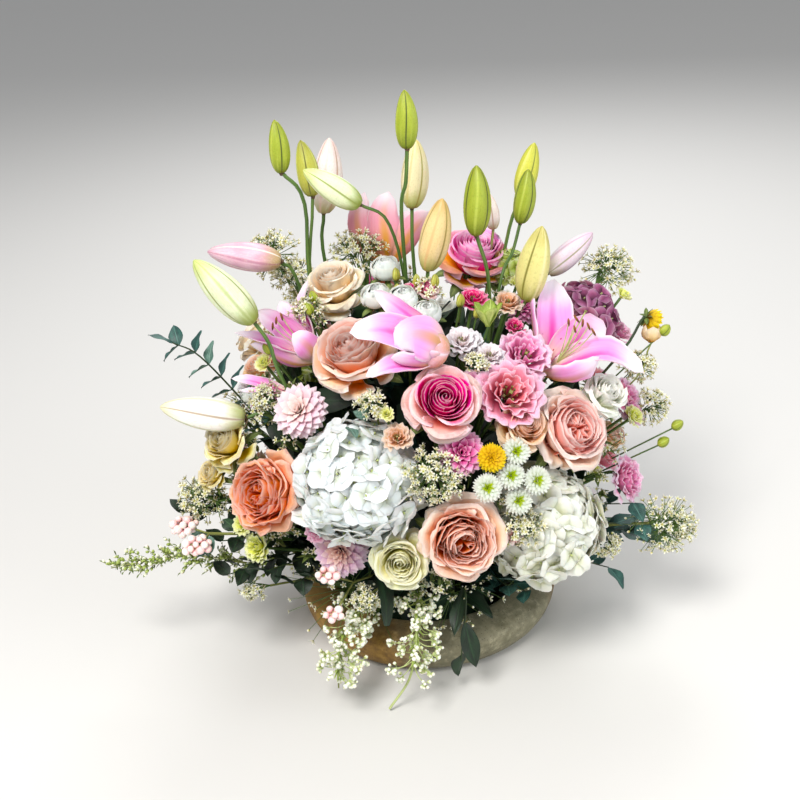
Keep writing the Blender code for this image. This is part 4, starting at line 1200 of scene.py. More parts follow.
def makeGlaze(finish, bowlLow):
    shader, field = newPaint("speckledGlaze")
    finish = {part: ink(code) for part, code in finish.items()}
    place = field.inObject()
    x, y, z = place.split()
    cloud = field.noise(place, 14.0, 4.0, 0.6)
    mottle = field.noise(place, 120.0, 4.0, 0.6)
    drips = field.noise(field.joined(x * 30.0, y * 30.0, z * 7.0), 1.0, 3.0)
    colour = (cloud * 0.6 + mottle * 0.4).between(0.38, 0.62).colours(finish["shade"], finish["clay"])
    colour = (mottle.between(0.52, 0.70) * 0.55).colours(colour, finish["light"])
    left = (x + (cloud - 0.5) * 0.10 + y * 0.25).between(-0.030, -0.120)
    runs = (drips * 0.6 + mottle * 0.4).between(0.40, 0.62).colours(finish["rust"], finish["ochre"])
    colour = (left * 0.85).colours(colour, runs)
    right = (x + (drips - 0.5) * 0.04).between(0.132, 0.158)
    colour = (right * 0.7).colours(colour, finish["rust"])
    for size, low, high, share in ((420.0, 0.16, 0.24, 0.85), (900.0, 0.20, 0.28, 0.6)):
        cell = field.cells(place, size)
        chosen = field.node("ShaderNodeTexWhiteNoise", {}, {"Vector": field.cells(place, size, "Position")})
        speck = (1 - cell.between(low, high)) * chosen.between(0.62, 0.72)
        colour = (speck * share).colours(colour, finish["speck"])
    # painted highlight: a pale band along the foot, where the table throws light back
    edge = (z + (drips - 0.5) * 0.004).between(bowlLow.z + 0.007, bowlLow.z + 0.001)
    colour = (edge * 0.75).colours(colour, finish["footHighlight"])
    # painted shade: inside the mouth the glaze is painted near black, for the shade in the bowl's hollow
    radius = (x * x + y * y) ** 0.5
    hollowShade = (radius + (drips - 0.5) * 0.004).between(0.122, 0.112)
    hollowShade = hollowShade * z.between(bowlLow.z + 0.004, bowlLow.z + 0.01)
    colour = (hollowShade * 0.9).colours(colour, finish["inside"])
    feel = field.noise(place, 260.0, 4.0, 0.65)
    apply(shader, {"Base Color": colour, "Roughness": 0.52 + 0.22 * mottle,
                   "Normal": field.bump(feel * 0.6 + cloud * 0.8, 0.4, 0.0009)}, {"Specular IOR Level": 0.4})


makeGlaze(bowlFinish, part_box("bowl")[0])

bowlShape = {"steps": 128, "foot": 0.788, "mouth": 0.745, "floor": 0.0075, "widest": 0.72, "smoothAngle": 50}


def makeBowl(shape):
    # the bowl's outline is drawn as an open edge line and spun about its axis
    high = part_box("bowl")[1]
    outer, height = high.x, high.z
    foot, mouth = outer * shape["foot"], outer * shape["mouth"]
    floor, widest = shape["floor"], shape["widest"]
    outline = [(0.0, 0.0015), (foot - 0.006, 0.0015), (foot - 0.002, 0.0), (foot + 0.002, 0.0006)]
    for k in range(1, 9):  # the wall swells out from the foot to its widest, three quarters up
        a = pi / 2 * k / 8
        outline.append((blend(foot + 0.002, outer, sin(a) ** 0.85),
                        0.0006 + (height * widest) * (1 - cos(a))))
    for k in range(1, 8):  # the shoulder rolls in to the mouth
        a = pi * 0.62 * k / 7
        outline.append((mouth + (outer - mouth) * (0.5 + 0.5 * cos(a * 1.45)) ** 0.9,
                        height * (widest + 0.28 * sin(a * 0.806))))
    outline += [(mouth, height - 0.001), (mouth - 0.0015, height - 0.004), (mouth + 0.001, height - 0.008),
                (mouth + 0.010, height * 0.62), (mouth + 0.008, height * 0.34), (foot - 0.014, floor + 0.004),
                (foot - 0.024, floor), (0.0, floor)]
    mesh = bpy.data.meshes.new("bowlGlazed")
    mesh.from_pydata([(r, 0, z) for r, z in outline], [(k, k + 1) for k in range(len(outline) - 1)], [])
    bowl = bpy.data.objects.new("bowl_glazed", mesh)
    bpy.context.scene.collection.objects.link(bowl)
    bpy.context.view_layer.objects.active = bowl
    bowl.select_set(True)
    bpy.ops.object.mode_set(mode="EDIT")
    bpy.ops.mesh.select_all(action="SELECT")
    bpy.ops.mesh.spin(steps=shape["steps"], angle=2 * pi, center=(0, 0, 0), axis=(0, 0, 1))
    bpy.ops.mesh.select_all(action="SELECT")
    bpy.ops.mesh.remove_doubles(threshold=0.00002)
    bpy.ops.mesh.normals_make_consistent(inside=False)
    bpy.ops.object.mode_set(mode="OBJECT")
    bpy.ops.object.shade_smooth_by_angle(angle=radians(shape["smoothAngle"]))
    bowl.select_set(False)
    mesh.materials.append(paints["speckledGlaze"])
    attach(bowl, "root")
    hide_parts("bowl")


makeBowl(bowlShape)


def makeFoamPaint():
    shader, field = newPaint("wetFoam")
    place = field.inObject()
    cells = field.noise(place, 700.0, 3.0, 0.7)
    cloud = field.noise(place, 40.0, 3.0)
    colour = (cells * 0.6 + cloud * 0.4).between(0.35, 0.65).colours(ink("16301c"), ink("35553a"))
    apply(shader, {"Base Color": colour, "Roughness": 0.85 + 0.1 * cells,
                   "Normal": field.bump(cells, 0.6, 0.0008)})


makeFoamPaint()
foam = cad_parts["floral_foam"]
foam.data.materials.clear()
foam.data.materials.append(paints["wetFoam"])
print("bowl and foam done")


# ---- the blooms that stand for the frame's own heads
def newPile(name, detail=1.0, crowd=1.0):
    # every piece draws its own random values, seeded by its name
    seed = sum(ord(letter) * (k + 1) for k, letter in enumerate(name))
    return Pile(name, np.random.default_rng(seed), detail, crowd)


def spotAt(turn, lift, reach):
    return heart + away(turn, lift) * reach


standing = {"swell": 1 / 0.9,  # the frame's plain heads are a little smaller than the petals around them
            "depth": 0.55,  # how far a bloom's base lies below its middle, in its radius
            "lean": 0.28, "forward": (0, -0.85, 0.52)}  # blooms at the front lean forward by this share
forward = unit(standing["forward"])
taken = []  # middle and radius of every bloom, for filling the gaps between them


def standHead(head, bloom):
    axis, radius = head["axis"], head["radius"] * standing["swell"] * bloom.get("grow", 1.0)
    lean = bloom.get("lean", standing["lean"] if head["face"][1] < 0 else 0.0)
    centre = head["base"] + axis * radius * standing["depth"] + np.array(bloom.get("shift", (0, 0, 0)))
    axis = unit(axis * (1 - lean) + forward * lean)
    taken.append((centre, radius))
    return stand(centre - axis * radius * standing["depth"], axis, radius)


# each petal of a lily: its spine, the way its inner side looks, and its width
lilies = {
    "lily_open_right": {
        "petals": [([(21, -7, 0), (37, 27, 4), (41, 63, 0), (46, 93, -12)], (0.25, -0.2, 1), 24),
                   ([(19, -7, 0), (19, 28, 6), (18, 65, 6), (14, 94, 0)], (1, 0, 0.15), 12),
                   ([(23, -7, 0), (51, 15, 10), (76, 36, 12), (92, 24, 14)], (-0.4, -0.2, 1), 22),
                   ([(23, -9, 0), (54, 4, 20), (92, 9, 30), (127, -16, 32)], (0, 0.75, 0.65), 21),
                   ([(21, -9, 0), (44, -15, 26), (66, -10, 40), (80, 4, 40)], (0.1, 0.9, -0.45), 21),
                   ([(22, -7, 0), (36, 18, -14), (42, 44, -34), (44, 60, -56)], (-0.2, -0.3, 1), 16)],
        "throat": (40, 2, 8), "pistil": (70, 52, 30),
        "stamens": [(53, 43, 22), (61, 46, 26), (67, 41, 28), (73, 37, 28), (78, 31, 26), (58, 35, 30)]},
    "lily_half_open": {
        "petals": [([(27, -29, 0), (1, -17, 14), (-34, -3, 20), (-69, -4, 18)], (-0.1, 0.35, 1), 19),
                   ([(26, -31, 0), (-1, -39, 10), (-29, -40, 14), (-56, -49, 16)], (0, 0.7, 0.6), 15),
                   ([(27, -25, 0), (2, 0, 0), (-20, 20, -4), (-42, 39, -6)], (0.2, -0.7, 0.8), 13),
                   ([(29, -30, 2), (13, -17, 25), (-7, -11, 32), (-25, -20, 24)], (-0.1, -0.25, -1), 25),
                   ([(28, -32, 0), (10, -38, 14), (-10, -38, 20), (-30, -32, 16)], (0, 0.9, -0.4), 18),
                   ([(27, -28, 0), (4, -8, 4), (-16, 4, 8), (-34, 2, 10)], (0, -0.9, -0.5), 17)],
        "bulb": ((28, -29, 4), (-22, -15, 12), 20)},
    "lily_open_left": {
        "petals": [([(12, -9, 2), (6, 3, 18), (-3, 14, 26), (-13, 22, 24)], (-0.4, 0.3, -1), 16),
                   ([(11, -7, 0), (5, 25, 0), (-3, 55, -4), (6, 82, -6)], (-0.9, 0, 0.5), 13),
                   ([(10, -5, 0), (-8, 18, 6), (-29, 36, 6), (-51, 51, 8)], (-0.1, -0.4, 1), 16),
                   ([(10, -8, 0), (-18, 6, 14), (-47, 19, 18), (-76, 28, 20)], (0, 0.9, 0.45), 13),
                   ([(11, -10, 0), (-13, -9, 10), (-39, 4, 12), (-61, 15, 10)], (0, 0.8, -0.5), 13),
                   ([(11, -7, 0), (-6, 21, -6), (-20, 46, -10), (-27, 62, -12)], (0.1, -0.3, 1), 15),
                   ([(-16, -43, -4), (-50, -29, 6), (-65, -24, 8), (-84, -21, 8)], (0, 0.6, 0.8), 8),
                   ([(-16, -46, -4), (-48, -37, 10), (-62, -36, 12), (-75, -35, 12)], (0, 0.8, 0.5), 7)],
        "throat": (4, 2, 6), "stamens": [(-30, 38, 16), (-24, 42, 14), (-34, 32, 18)]},
    "lily_open_back": {
        "fold": 0.5,
        "petals": [([(-8, 9, 0), (-34, 40, 0), (-40, 73, -4), (-29, 101, -8)], (0.35, 0.2, -1), 17),
                   ([(-8, 9, 0), (-8, 40, 8), (-9, 70, 4), (0, 99, -4)], (0, 0.2, -1), 22),
                   ([(-5, 9, 0), (11, 33, 4), (27, 54, 0), (48, 72, -12)], (-0.4, 0.2, -1), 18),
                   ([(-7, 9, 0), (-22, 41, -20), (-26, 68, -34), (-22, 86, -46)], (0, 0, 1), 16),
                   ([(-7, 9, 0), (6, 39, -20), (18, 62, -36), (20, 82, -50)], (0, 0, 1), 16),
                   ([(-7, 9, 0), (-6, 35, -26), (-2, 56, -46), (-8, 69, -66)], (0, 0.3, 1), 18)],
        "throat": (-6, 20, -4), "stamens": [(-14, 78, -22), (-4, 80, -26), (6, 76, -24)]},
}

slotLooks = {  # which finish each slot holds
    "petal_pink": "ruffledPink ruffledSalmon ruffledDeep hotPink twoTone",
    "petal_peach": "ruffledPeach smallPeach peach blush apricot",
    "petal_blush": "ruffledWhite dahliaLilac dahliaBlush",
    "petal_lime": "ruffledLime hydrangeaLime",
    "filler": "starCream",
    "petal_cream": "creamWhite creamYellow creamRose limeRose",
    "petal_white": "pureWhite mumWhite hydrangeaWhite hydrangeaCream",
    "petal_mauve": "dahliaMauve hydrangeaMauve",
    "petal_coral": "coral",
    "lily_pink": "lilyPink lilyDusty",
}
lookSlots = {look: slot for slot, looks in slotLooks.items() for look in looks.split()}

blooms = {
    "rose_hot_pink": dict(kind="rose spiral", look="hotPink", grow=1.2),
    "rose_peach_open": dict(kind="rose garden", look="peach", grow=1.14, lean=0.12, shift=(0.0, 0, 0.003)),
    "rose_blush": dict(kind="rose quartered", look="blush", grow=1.2, lean=0.15),
    "rose_apricot": dict(kind="rose smooth", look="apricot", grow=1.22, lean=0.05, shift=(0.004, 0, -0.01)),
    "rose_cream": dict(kind="rose pointed", look="creamRose", grow=1.28, lean=0.3),
    "rose_two_tone": dict(kind="rose spiral", look="twoTone", grow=1.28, lean=0.45, shift=(0.004, 0, -0.004)),
    "rose_coral": dict(kind="rose crown", look="coral", grow=1.2, shift=(0.004, 0, -0.008)),
    "rose_pale_lime": dict(kind="rose cup", look="limeRose", grow=1.14),
    "rose_small_peach": dict(kind="rose spiral", look="smallPeach", grow=1.4, shift=(-0.006, -0.018, 0.006)),
    "rose_back_peach": dict(kind="rose quartered", look="peach"),
    "rose_back_pink": dict(kind="rose spiral", look="twoTone"),
    "rose_back_cream": dict(kind="rose pointed", look="creamRose"),
    "hydrangea_white_left": dict(kind="hydrangea", look="hydrangeaWhite", florets=120, grow=1.05,
                                 shift=(-0.005, 0, 0.005)),
    "hydrangea_white_right": dict(kind="hydrangea", look="hydrangeaCream", florets=120, grow=1.12),
    "hydrangea_mauve": dict(kind="hydrangea", look="hydrangeaMauve", florets=62, size=0.28, grow=1.15,
                            shift=(0.012, 0, 0.01)),
    "hydrangea_back_white": dict(kind="hydrangea", look="hydrangeaWhite", florets=112),
    "hydrangea_back_lime": dict(kind="hydrangea", look="hydrangeaLime", florets=112),
    "dahlia_blush": dict(kind="ball dahlia", look="dahliaBlush"),
    "dahlia_mauve": dict(kind="ball cupped", look="dahliaMauve", grow=1.24, shift=(-0.004, -0.004, 0.01)),
    "dahlia_lilac": dict(kind="ball frilly", look="dahliaLilac", grow=1.1, shift=(0, 0, 0.009)),
    "lily_open_right": dict(kind="lily", look="lilyPink"),
    "lily_half_open": dict(kind="lily", look="lilyPink"),
    "lily_open_left": dict(kind="lily", look="lilyPink"),
    "lily_open_back": dict(kind="lily", look="lilyDusty"),
    "lisianthus_pink_upper": dict(kind="ruffled", look="ruffledPink", grow=1.3, lean=0.35,
                                  shift=(0.008, 0, -0.009)),
    "lisianthus_pink_lower": dict(kind="ruffled", look="ruffledSalmon", grow=1.4, lean=0.35),
    "lisianthus_blush": dict(kind="ruffled", look="ruffledWhite"),
    "lisianthus_right_low": dict(kind="ruffled", look="ruffledPink", grow=1.3, shift=(0, 0, -0.012)),
    "lisianthus_right_high": dict(kind="ruffled", look="ruffledPink", slot="petal_blush", grow=1.15),
    "lisianthus_back": dict(kind="ruffled", look="ruffledPink"),
    "lisianthus_white_spray": dict(kind="rose button", look="pureWhite", grow=1.5),
    "button_mum_spray": dict(kind="ball button", look="mumWhite", grow=1.14),
}


def addBloom(pile, bloom, placed, look):
    made, *kind = bloom["kind"].split()
    if made == "rose":
        addRose(pile, look, placed, kind[0])
    elif made == "hydrangea":
        addHydrangea(pile, look, placed, bloom["florets"], bloom.get("size", 0.235))
    elif made == "ball":
        heartLook = "mumYellow" if look == "mumYellow" else "limeHeart"
        addBall(pile, placed, dict(ballShapes[kind[0]], look=look, heartLook=heartLook))
    else:
        addRuffled(pile, look, placed, bloom.get("petals", ruffledShape["petals"]))


for name, bloom in blooms.items():
    pile = newPile(name, 0.8 if "back" in name or "spray" in name else 1.0)
    for k, head in enumerate(readNode(name)):
        placed = standHead(head, bloom)
        if bloom["kind"] == "lily":
            addLily(pile, bloom["look"], head["base"], lilies[name])
            end = head["base"] + toFront @ (np.array(lilies[name]["petals"][0][0][0]) / 1000)
        else:
            yellow = name == "button_mum_spray" and k == 0  # the highest of the button mums
            addBloom(pile, bloom, placed, "mumYellow" if yellow else bloom["look"])
            end = placed[:3, 3]
        addStem(pile, list(head["stem"]) + [end], head["stemRadius"])
    pile.finish(bloom.get("slot", lookSlots[bloom["look"]]), name)
print("blooms done")


# ---- lily buds on their stems
buds = {  # the look of each bud on the stem, from the highest down, and whether they are still green
    "lily_stem_left": ("budGreen budOlive", True), "lily_stem_centre": ("budGreen budPale", True),
    "lily_stem_right": ("budGreen budGreen", True), "lily_bud_rear_left": ("budBlush", False),
    "lily_bud_rear_centre": ("budCream", False), "lily_bud_front_centre": ("budPeach", False),
    "lily_bud_rear_right": ("budYellow", True), "lily_bud_front_right": ("budStraw", False),
    "lily_bud_far_right": ("budLilac", False), "lily_bud_left_pink": ("budPink", False),
    "lily_bud_left_white": ("budPale", False), "lily_bud_left_low": ("budWhite", False),
}
budStanding = {"swell": 1.03, "stem": 0.8, "joint": 0.001, "collar": 0.003, "collarRadii": (0.7, 1.25, 0.9)}

for name, (looks, green) in buds.items():
    pile = newPile(name)
    for head, look in zip(readNode(name), looks.split()):
        base, axis, thick = head["base"], unit(head["axis"]), head["stemRadius"]
        addBud(pile, look, base, head["face"], head["radius"] * budStanding["swell"])
        addStem(pile, list(head["stem"]) + [base], thick * budStanding["stem"], "stemGreen", 8, 0.03)
        joint, half = base - axis * budStanding["joint"], axis * budStanding["collar"]
        radii = np.array(budStanding["collarRadii"]) * thick
        pile.tube([joint - half, joint, joint + half], radii, 8, "stemBrown")
    pile.finish("lily_green" if green else "lily_cream", name)
print("buds done")


# ---- sprays of tiny flowers
sprays = {  # how many flowers, how much wider than the frame's plain clump, and where its middle lies
    "filler_centre": (230, 1.45, 0.62), "filler_top_left": (170, 1.2, 0.62),
    "filler_top_right": (170, 1.25, 0.62), "filler_right_low": (250, 1.3, 0.30),
    "filler_left_low": (170, 1.25, 0.62), "filler_back": (90, 1.05, 0.62),
}
for name, (count, grow, share) in sprays.items():
    pile = newPile(name)
    head = readNode(name)[0]
    middle = blend(head["base"], head["face"], share)
    addSpray(pile, head["base"], middle, head["axis"], head["radius"] * standing["swell"] * grow, count)
    addStem(pile, list(head["stem"]) + [head["base"]], head["stemRadius"], "stemOlive")
    pile.finish("filler", name)

looseSprays = {  # turn, lift and reach of each tip, the clump's radius and how many flowers it has
    "sprays_top": [(-147, 76, 0.402, 0.036, 170), (-117, 68, 0.400, 0.026, 110), (20, 81, 0.392, 0.018, 60),
                   (24, 64, 0.376, 0.013, 44), (-66, 72, 0.388, 0.020, 80)],
    "sprays_right": [(27, 37, 0.283, 0.027, 130), (58, 20, 0.262, 0.018, 70), (87, 44, 0.371, 0.022, 100),
                     (82, 38, 0.352, 0.026, 120)],
    "sprays_left": [(-14, 60, 0.362, 0.018, 60), (-58, 57, 0.350, 0.020, 80), (-75, 31, 0.300, 0.024, 100),
                    (-58, 14, 0.245, 0.016, 50), (-20, 22, 0.222, 0.017, 60)],
    "sprays_back": [(-140, 58, 0.370, 0.028, 110), (148, 46, 0.350, 0.026, 100),
                    (120, 28, 0.295, 0.026, 100)],
}
for name, tips in looseSprays.items():
    pile = newPile(name)
    for turn, lift, reach, radius, count in tips:
        tip = spotAt(turn, lift, reach)
        way = unit(tip - heart)
        base = tip - way * radius * 1.6
        addSpray(pile, base, tip - way * radius * 0.3, way, radius, count)
        addStem(pile, fromHeart(base), 0.0014, "stemOlive", 5)
    pile.finish("filler")
print("sprays done")


# ---- berries, trailing stems and leaves that hang over the bowl
def along(line, share):
    # the point and direction at a share of a line's length
    steps = np.linalg.norm(np.diff(line, axis=0), axis=1)
    walked = np.concatenate([[0], np.cumsum(steps)])
    at = share * walked[-1]
    k = min(int(np.searchsorted(walked, at, side="right")) - 1, len(line) - 2)
    return blend(line[k], line[k + 1], (at - walked[k]) / (steps[k] + 1e-12)), unit(line[k + 1] - line[k])


def addWaxTrail(pile, line, groups, start, stop, spread, ballSize):
    # side twigs that each end in a small umbrella of white buds
    chance, draw, ball = pile.chance, pile.chance.uniform, ballModel(3, 6, 1.05)
    pile.tube(line, np.linspace(0.0016, 0.0009, len(line)), 6, "stemOlive")
    for k in range(groups):
        spot, way = along(line, blend(start, stop, (k + draw(0, 1)) / groups))
        out = unit(np.cross(way, chance.normal(0, 1, 3)) + way * 0.5 + np.array([0, -0.25, 0.15]))
        reach = draw(0.4, 1.0) * spread
        end = spot + out * reach
        pile.tube(flowing([spot, blend(spot, end, 0.5) + way * reach * 0.15, end], 3), 0.0006, 4, "stemPale")
        for j in range(int(chance.integers(6, 11))):
            side = unit(out + chance.normal(0, 0.65, 3))
            tip = end + side * draw(0.0045, 0.0085)
            pile.tube([end, tip], 0.0004, 3, "stemPale")
            placed = stand(tip, side, ballSize * draw(0.75, 1.2))
            addModel(pile, ball, "waxBud", placed, draw(0, 0.5))
        for j in range(2):
            addLeaf(pile, "limeLeaf", spot, unit(way + chance.normal(0, 0.6, 3)), draw(0.008, 0.014), 0.0011)


def addFern(pile, line, twigs, start, spread):
    # a feathery olive spray: side twigs with tiny leaves and pale buds
    chance, draw, ball = pile.chance, pile.chance.uniform, ballModel(4, 5, 1.3)
    pile.tube(line, np.linspace(0.0016, 0.0006, len(line)), 6, "stemOlive")
    for k in range(twigs):
        share = blend(start, 0.97, (k + draw(0, 1)) / twigs)
        spot, way = along(line, share)
        out = unit(way * 0.9 + unit(np.cross(way, chance.normal(0, 1, 3)) + np.array([0, 0, 0.2])) * 0.8)
        reach = spread * draw(0.5, 1.0) * (1.15 - 0.6 * share)
        twig = flowing([spot, spot + out * reach * 0.5 + way * reach * 0.1, spot + out * reach], 4)
        pile.tube(twig, np.linspace(0.0007, 0.0003, len(twig)), 4, "stemOlive")
        for j in range(11):
            at, on = along(twig, (j + 1) / 11)
            side = unit(on * 0.8 + chance.normal(0, 0.6, 3))
            if j % 2:
                tip = at + side * 0.0035
                pile.tube([at, tip], 0.0003, 3, "stemPale")
                addModel(pile, ball, "waxBud" if j % 8 == 1 else "greenBud",
                         stand(tip, side, 0.0019 * draw(0.8, 1.3)), 0.4)
            else:
                addLeaf(pile, "oliveLeaf", at, side, draw(0.004, 0.008), 0.0011, thick=0.0003)


# how many side twigs, where they begin and end, how far they spread, and the size of a bud
waxTrails = {"trailing_front_left": (50, 0.42, 0.90, 0.027, 0.0025),
             "trailing_front_right": (46, 0.36, 0.76, 0.028, 0.0023)}
for name, trail in waxTrails.items():
    pile = newPile(name)
    line = flowing(readTrail(name), 6)
    addWaxTrail(pile, line, *trail)
    if name == "trailing_front_right":  # its bare end is paler
        pile.tube(line, 0.0014, 6, "stemPale")
    pile.finish("filler", name)
pile = newPile("trailing_left")
addFern(pile, flowing(readTrail("trailing_left"), 6), 60, 0.36, 0.046)
pile.finish("filler", "trailing_left")


def addBerries(pile, root, bunches, size):
    # berries in tight bunches on short stalks
    draw = pile.chance.uniform
    for middle, count, radius in bunches:
        middle = np.asarray(middle, float)
        pile.tube(flowing([root, blend(root, middle, 0.5), middle], 4), 0.0011, 5, "stemOlive")
        for k in range(count):
            out = fromPole(acos(1 - 2 * (k + 0.5) / count), k * goldenTurn)
            spot = middle + out * radius * np.array([1.25, 1.0, 0.75]) * draw(0.85, 1.1)
            pile.tube([middle, spot], 0.0006, 4, "stemPale")
            placed = stand(spot, out, size * draw(0.8, 1.15))
            addModel(pile, berry, "berryPink", placed, draw(0, 0.6))


berry = ballModel(8, 12, 1.0)
pile = newPile("snowberry_left")
head = readNode("snowberry_left")[0]
across = unit(np.cross(head["axis"], (0, 0, 1.0)))
middle = blend(head["base"], head["face"], 0.7)
addBerries(pile, head["base"], [(middle + across * 0.021 + (0, 0, 0.004), 18, 0.0105),
                                (middle - across * 0.019, 18, 0.0105)], 0.0044)
for k in range(7):
    turn = pile.chance.uniform(-1, 1)
    way = unit(head["axis"] * 0.4 + across * turn + np.array([0, 0, pile.chance.uniform(-0.9, 0.2)]))
    base, roll = head["base"] + way * 0.004, pile.chance.uniform(-40, 40)
    addLeaf(pile, "blueLeaf", base, way, 0.026, 0.009, 0.2, 0.2, roll, (4, 6))
addStem(pile, list(head["stem"]) + [head["base"]], head["stemRadius"], "stemOlive")
pile.finish("berry", "snowberry_left")

# where the stalk forks, and the place, number and radius of each bunch
looseBerries = {
    "berries_front": ((-0.080, -0.170, 0.150), [((-0.104, -0.205, 0.186), 12, 0.009),
                                                ((-0.101, -0.212, 0.140), 9, 0.007)]),
    "berries_right": ((0.085, -0.170, 0.190), [((0.096, -0.196, 0.212), 9, 0.007)]),
}
for name, (fork, bunches) in looseBerries.items():
    pile = newPile(name)
    root = hub + fork
    addStem(pile, fromHeart(root, 0.6), 0.0014, "stemOlive", 5)
    addBerries(pile, root, [(hub + spot, count, radius) for spot, count, radius in bunches], 0.0042)
    pile.finish("berry")

pile = newPile("eucalyptus_left")
line = flowing(readTrail("eucalyptus_left"), 6)
pile.tube(line, np.linspace(0.0017, 0.0007, len(line)), 6, "stemDark")
for k in range(9):
    spot, way = along(line, 0.55 + 0.43 * k / 8)
    for side in (-1, 1):
        out = unit(way * 0.7 + side * unit(np.cross(way, (0.3, -0.8, 0.5))) + pile.chance.normal(0, 0.12, 3))
        look, long = "tealLeaf" if k % 3 else "blueLeaf", 0.034 * (1.1 - 0.045 * k)
        addLeaf(pile, look, spot, out, long, 0.0085, 0.15, 0.25, side * 30, (4, 8))
addLeaf(pile, "tealLeaf", line[-1], along(line, 1)[1], 0.028, 0.006, 0.1, 0.2, 0, (4, 8))
pile.finish("leaf", "eucalyptus_left")

bladeSprays = {
    "ruscus_front": {"look": "deepLeaf", "leaf": (0.060, 0.0105), "from": 0.40, "leaves": 4, "drop": -1.6,
                     "tips": 0.026},
    "leaf_right": {"look": "tealLeaf", "leaf": (0.050, 0.014), "from": 0.62, "leaves": 5, "drop": 0.0,
                   "tips": 0.01},
    "leaf_back": {"look": "darkLeaf", "leaf": (0.080, 0.016), "from": 0.45, "leaves": 5, "drop": -0.4,
                  "tips": 0.01},
}
for name, blade in bladeSprays.items():
    pile = newPile(name)
    line = flowing(readTrail(name), 6)
    pile.tube(line, np.linspace(0.0017, 0.0008, len(line)), 6, "stemDark")
    for k in range(blade["leaves"]):
        spot, way = along(line, blend(blade["from"], 0.96, k / (blade["leaves"] - 1)))
        side = unit(np.cross(way, (0, 0, 1.0))) * (1 if k % 2 else -1)
        out = unit(way + side * 0.5 + np.array([0, 0, blade["drop"] * 0.5]) + pile.chance.normal(0, 0.1, 3))
        long, wide = blade["leaf"]
        room = (spot[2] - blade["tips"]) / max(0.05, -out[2])  # the tips end this high above the table
        long = max(0.024, min(long, room)) * pile.chance.uniform(0.85, 1.0)
        addLeaf(pile, blade["look"], spot, out, long, wide * pile.chance.uniform(0.85, 1.1), 0.12, 0.25,
                pile.chance.uniform(-25, 25), (6, 12))
    pile.finish("leaf", name)
print("trails and berries done")


# ---- smaller blooms that fill between the heads
smallBlooms = {  # turn, lift and reach from the heart, radius and look; ruffled where no other kind is named
    "bloom_deep_pink": (45, 75, 0.395, 0.018, "ruffledDeep"),
    "bloom_red_pink": (49, 67, 0.386, 0.013, "ruffledDeep"),
    "bloom_peach": (60, 71, 0.393, 0.019, "ruffledPeach"),
    "bloom_peach_pink": (-6, 55, 0.348, 0.018, "ruffledPeach"),
    "bloom_blush_high": (23, 69, 0.383, 0.019, "ruffledWhite"),
    "bloom_blush_right": (31, 65, 0.378, 0.018, "ruffledWhite"),
    "bloom_blush_low": (21, 62, 0.366, 0.017, "ruffledPink"),
    "bloom_pink_high": (92, 50, 0.388, 0.020, "ruffledPink"),
    "bloom_pink_right": (74, 46, 0.352, 0.020, "ruffledDeep"),
    "bloom_lilac_right": (76, 41, 0.345, 0.020, "ruffledPink"),
    "rose_cream_right": (61, 49, 0.368, 0.029, "creamWhite", "rose cup"),
    "rose_cream_small": (72, 41, 0.348, 0.015, "ruffledLime"),
    "rose_pink_small": (20, 80, 0.397, 0.014, "hotPink", "rose cup"),
    "rose_pink_tiny": (2, 81, 0.395, 0.010, "hotPink", "rose cup"),
    "bloom_viburnum": (112, 70, 0.396, 0.024, "hydrangeaLime", "hydrangea", 44),
    "bloom_lime_small": (86, 71, 0.392, 0.012, "ruffledLime"),
    "bloom_lime_right": (97, 52, 0.420, 0.012, "ruffledLime"),
    "bloom_lime_left": (-64, 61, 0.372, 0.013, "ruffledLime"),
    "bloom_lime_heart": (-9, 58, 0.362, 0.009, "ruffledLime"),
    "bloom_lime_front": (-61, 31, 0.276, 0.016, "ruffledLime"),
    "bloom_lime_low": (-56, 27, 0.262, 0.021, "ruffledLime"),
    "bloom_cream_left": (-63, 46, 0.345, 0.033, "creamYellow", "rose cup"),
    "bloom_cream_low": (-68, 38, 0.322, 0.021, "creamYellow", "rose cup"),
    "bloom_pink_low": (-33, 38, 0.270, 0.016, "ruffledPink"),
}


def leaning(way, share=0.25):
    # a bloom's axis, turned a little to the front on the front half
    return unit(way * (1 - share) + forward * share) if way[1] < 0.2 else way


def addSmallBloom(pile, bloom, at, radius):
    spot = spotAt(*at)
    way = unit(spot - heart)
    axis = leaning(way)
    base = spot - axis * radius
    taken.append((spot - axis * radius * 0.4, radius))
    petals = round(ruffledShape["petals"] * pile.crowd) if radius > 0.013 else 11
    bloom = dict({"kind": "ruffled", "petals": petals, "size": 0.34}, **bloom)
    addBloom(pile, bloom, stand(base, axis, radius), bloom["look"])
    addStem(pile, [heart, blend(heart, spot, 0.5), base], 0.0018, "stemGreen", 5)


for name, (turn, lift, reach, radius, look, *kind) in smallBlooms.items():
    pile = newPile(name, 0.66, 0.8)
    addSmallBloom(pile, dict(zip(("kind", "florets"), kind), look=look), (turn, lift, reach), radius)
    pile.finish(lookSlots[look])
print("small blooms done")


